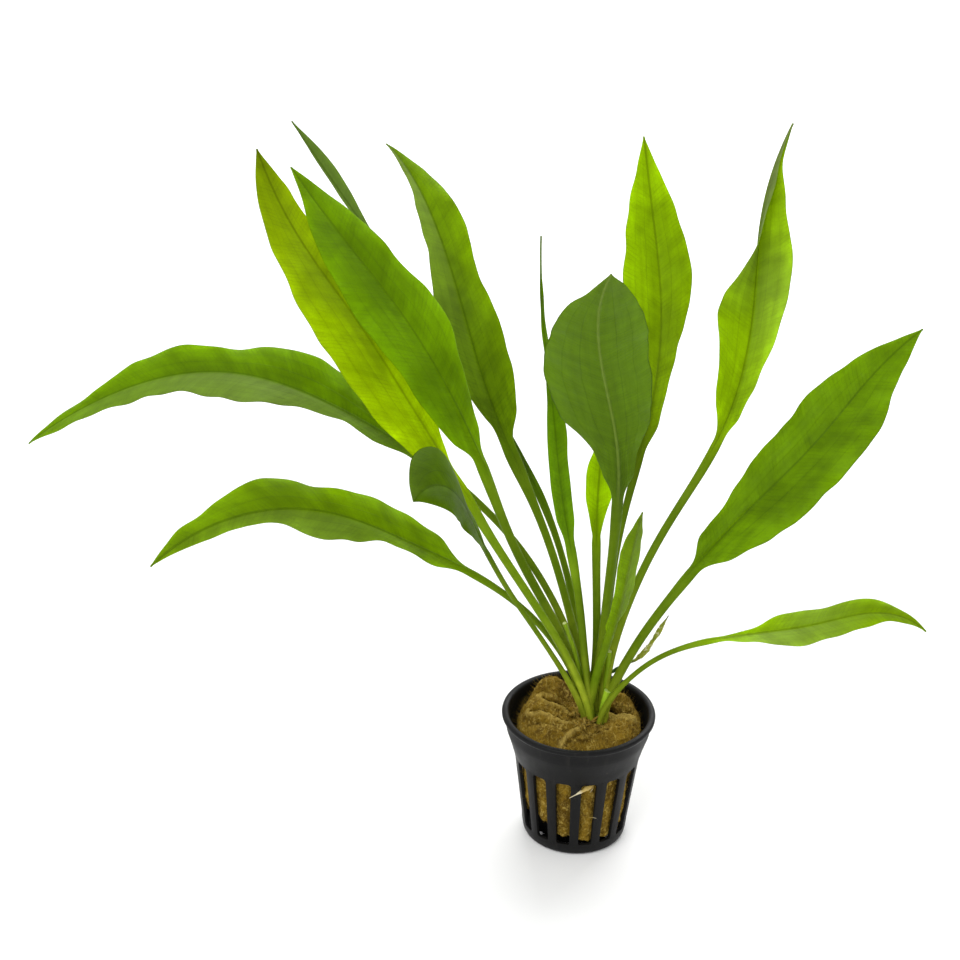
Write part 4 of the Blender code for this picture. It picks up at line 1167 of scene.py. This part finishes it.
rootHairs = (
    # start, length, rise, turn, half thickness along it; the first is the root itself
    ((4.9, -20.0, 32.0), 10.5, (0, -7, -23, -35), (-114, -140, -162, -180),
     (0.85, 1.0, 0.8, 0.55, 0.2, 0.12), 0.35),
    ((5.4, -20.2, 31.4), 2.6, (-10, -30, -50), (-100, -120, -130), (0.3, 0.22, 0.08), 0.4),
    ((4.2, -20.2, 18.0), 2.8, (10, -5, -20), (-20, -10, 5), (0.09, 0.08, 0.05), 0.1),
    ((-13.6, -14.0, 19.5), 3.0, (5, 15, 5), (-30, -25, -35), (0.09, 0.08, 0.05), 0.1),
)


def stemSkin(stem, sides=20, rings=None):
    rings = rings or int(stem["length"] * 2.2)
    places = np.linspace(0, 1, rings)
    points, ahead, left, up = stemFrames(stem["at"], stem["length"], stem["rise"], stem["turn"], places)
    half = curveThrough(stem["half"], places)
    if stem["cut"]:
        points = np.vstack([points, points[-1] + ahead[-1] * 0.14, points[-1] + ahead[-1] * 0.04])
        half = np.concatenate([half, [half[-1] * 0.9, half[-1] * 0.6]])
        places = np.concatenate([places, [1.0, 1.0]])
        left, up, ahead = (np.vstack([row, row[-1:], row[-1:]]) for row in (left, up, ahead))
    ringPoints = []
    depth, closeness = stem["lumps"]
    for k, place in enumerate(places):
        for i in range(sides):
            a = 2 * math.pi * i / sides
            spin = 2 * math.pi * stem["twist"] * max(0.0, place - 0.35)
            x, y = math.cos(a), math.sin(a) * stem["flat"]
            x, y = x * math.cos(spin) - y * math.sin(spin), x * math.sin(spin) + y * math.cos(spin)
            seat = Vector(points[k] * closeness) + Vector((x, y, 0)) * 0.8
            rough = 1 + depth * min(1.0, place * 2) * noise.fractal(seat, 0.7, 2.1, 3)
            ringPoints.append(points[k] + (left[k] * x + up[k] * y) * half[k] * rough)
    count = len(places)
    end = points[-1] - ahead[-1] * 0.05 if stem["cut"] else points[-1] + ahead[-1] * 0.2
    allPoints = np.vstack([np.array(ringPoints), points[0], end])
    run = np.concatenate([np.repeat(places, sides), [0.0, 1.0]])
    if stem["cut"]:  # the cut face is told from the skin by a run above 1
        run[-2 - 2 * sides:-2] = 1.2
        run[-1] = 1.2
    return allPoints, ringFaces(count, sides), run


def manyStems(rows, sides, rings):  # several thin stems as one mesh
    allPoints, allFaces, allRun, first = [], [], [], 0
    for start, length, rise, turn, half, depth in rows:
        stem = dict(at=start, length=length, rise=rise, turn=turn, half=half, flat=0.8, twist=0.3,
                    lumps=(depth, 0.9), cut=False)
        points, faces, run = stemSkin(stem, sides, rings)
        allPoints.append(points)
        allFaces += [tuple(first + i for i in face) for face in faces]
        allRun.append(run)
        first += len(points)
    return np.vstack(allPoints), allFaces, np.concatenate(allRun)


def stemMaterial(name, foot, middle, end, cutFace, gloss=0.2, spots=None):
    made, tree, body, spot = newMaterial(name)
    run = attributeOf(tree, "stemRun")
    stretched = addNode(tree, "ShaderNodeMapping", {"Vector": spot, "Scale": (1.0, 1.0, 0.2)}).outputs[0]
    streaks = noiseAt(tree, stretched, 900.0, 3.0, 0.6)
    patches = noiseAt(tree, spot, 420.0, 3.0, 0.6)
    base = blendColours(tree, ramp(tree, run, 0.0, 0.4), foot, middle)
    base = blendColours(tree, ramp(tree, run, 0.48, 0.62), base, end)
    base = blendColours(tree, ramp(tree, streaks, 0.45, 0.7, 0.0, 0.5), base, shaded(middle, 0.55))
    if spots:
        base = layColours(tree, base, ((ramp(tree, patches, 0.55, 0.64), ramp(tree, run, 0.5, 0.6), spots),))
        base = blendColours(tree, ramp(tree, run, 0.93, 1.0), base, shaded(end, 0.2))
    base = blendColours(tree, ramp(tree, run, 1.05, 1.15), base, cutFace)
    tree.links.new(base, body.inputs["Base Color"])
    body.inputs["Roughness"].default_value = 0.55
    body.inputs["Specular IOR Level"].default_value = gloss
    height = calc(tree, "MULTIPLY_ADD", streaks, 0.7, patches)
    addBump(tree, body, height, strength=0.4, distance=0.3 * mm)
    return made


crownMake = dict(at=(5.3, 0.8), half=(4.6, 6.0), low=39.8, high=47.6, lobes=7, sides=96, rings=26, run=0.4)


def crownSkin():  # overlapping stalk bases round a mound
    make = crownMake
    points = []
    for k in range(make["rings"]):
        share = k / (make["rings"] - 1)
        reach = math.cos(math.pi / 2 * max(0.0, share - 0.45) / 0.62) ** 0.55
        for i in range(make["sides"]):
            a = 2 * math.pi * i / make["sides"]
            lobe = 1 + 0.10 * abs(math.sin(a * make["lobes"] / 2 + 0.8)) + 0.05 * noise.noise(
                Vector((math.cos(a) * 2, math.sin(a) * 2, share * 3)))
            wide, deep = make["half"]
            x = make["at"][0] + wide * reach * lobe * math.cos(a)
            y = make["at"][1] + deep * reach * lobe * math.sin(a)
            z = make["low"] + (make["high"] - make["low"]) * share + 0.3 * (lobe - 1.05) * 10 * share
            points.append((x, y, z))
    points += [(*make["at"], make["low"] - 0.1), (*make["at"], make["high"] + 0.25)]
    return np.array(points), ringFaces(make["rings"], make["sides"]), np.full(len(points), make["run"])


def addStem(name, skin, finish):
    points, faces, run = skin
    node = name.rsplit("_", 1)[0]
    addAttribute(newPiece(name, points, faces, finish, [node]), "stemRun", run)


def makeStems():
    finishes = {key: stemMaterial(*row) for key, row in stemFinishes.items()}
    for name, stem in stems.items():
        addStem(name + "_skin", stemSkin(stem), finishes[stem["finish"]])
    addStem("root_tip_skin", manyStems(rootHairs, sides=14, rings=40), finishes["pale"])
    addStem("crown_sheaths", crownSkin(), finishes["sheath"])
    print("stems made:", len(stems) + 2)


makeStudio()
makePot()
makeWool()
makeStems()
makeLeaves()
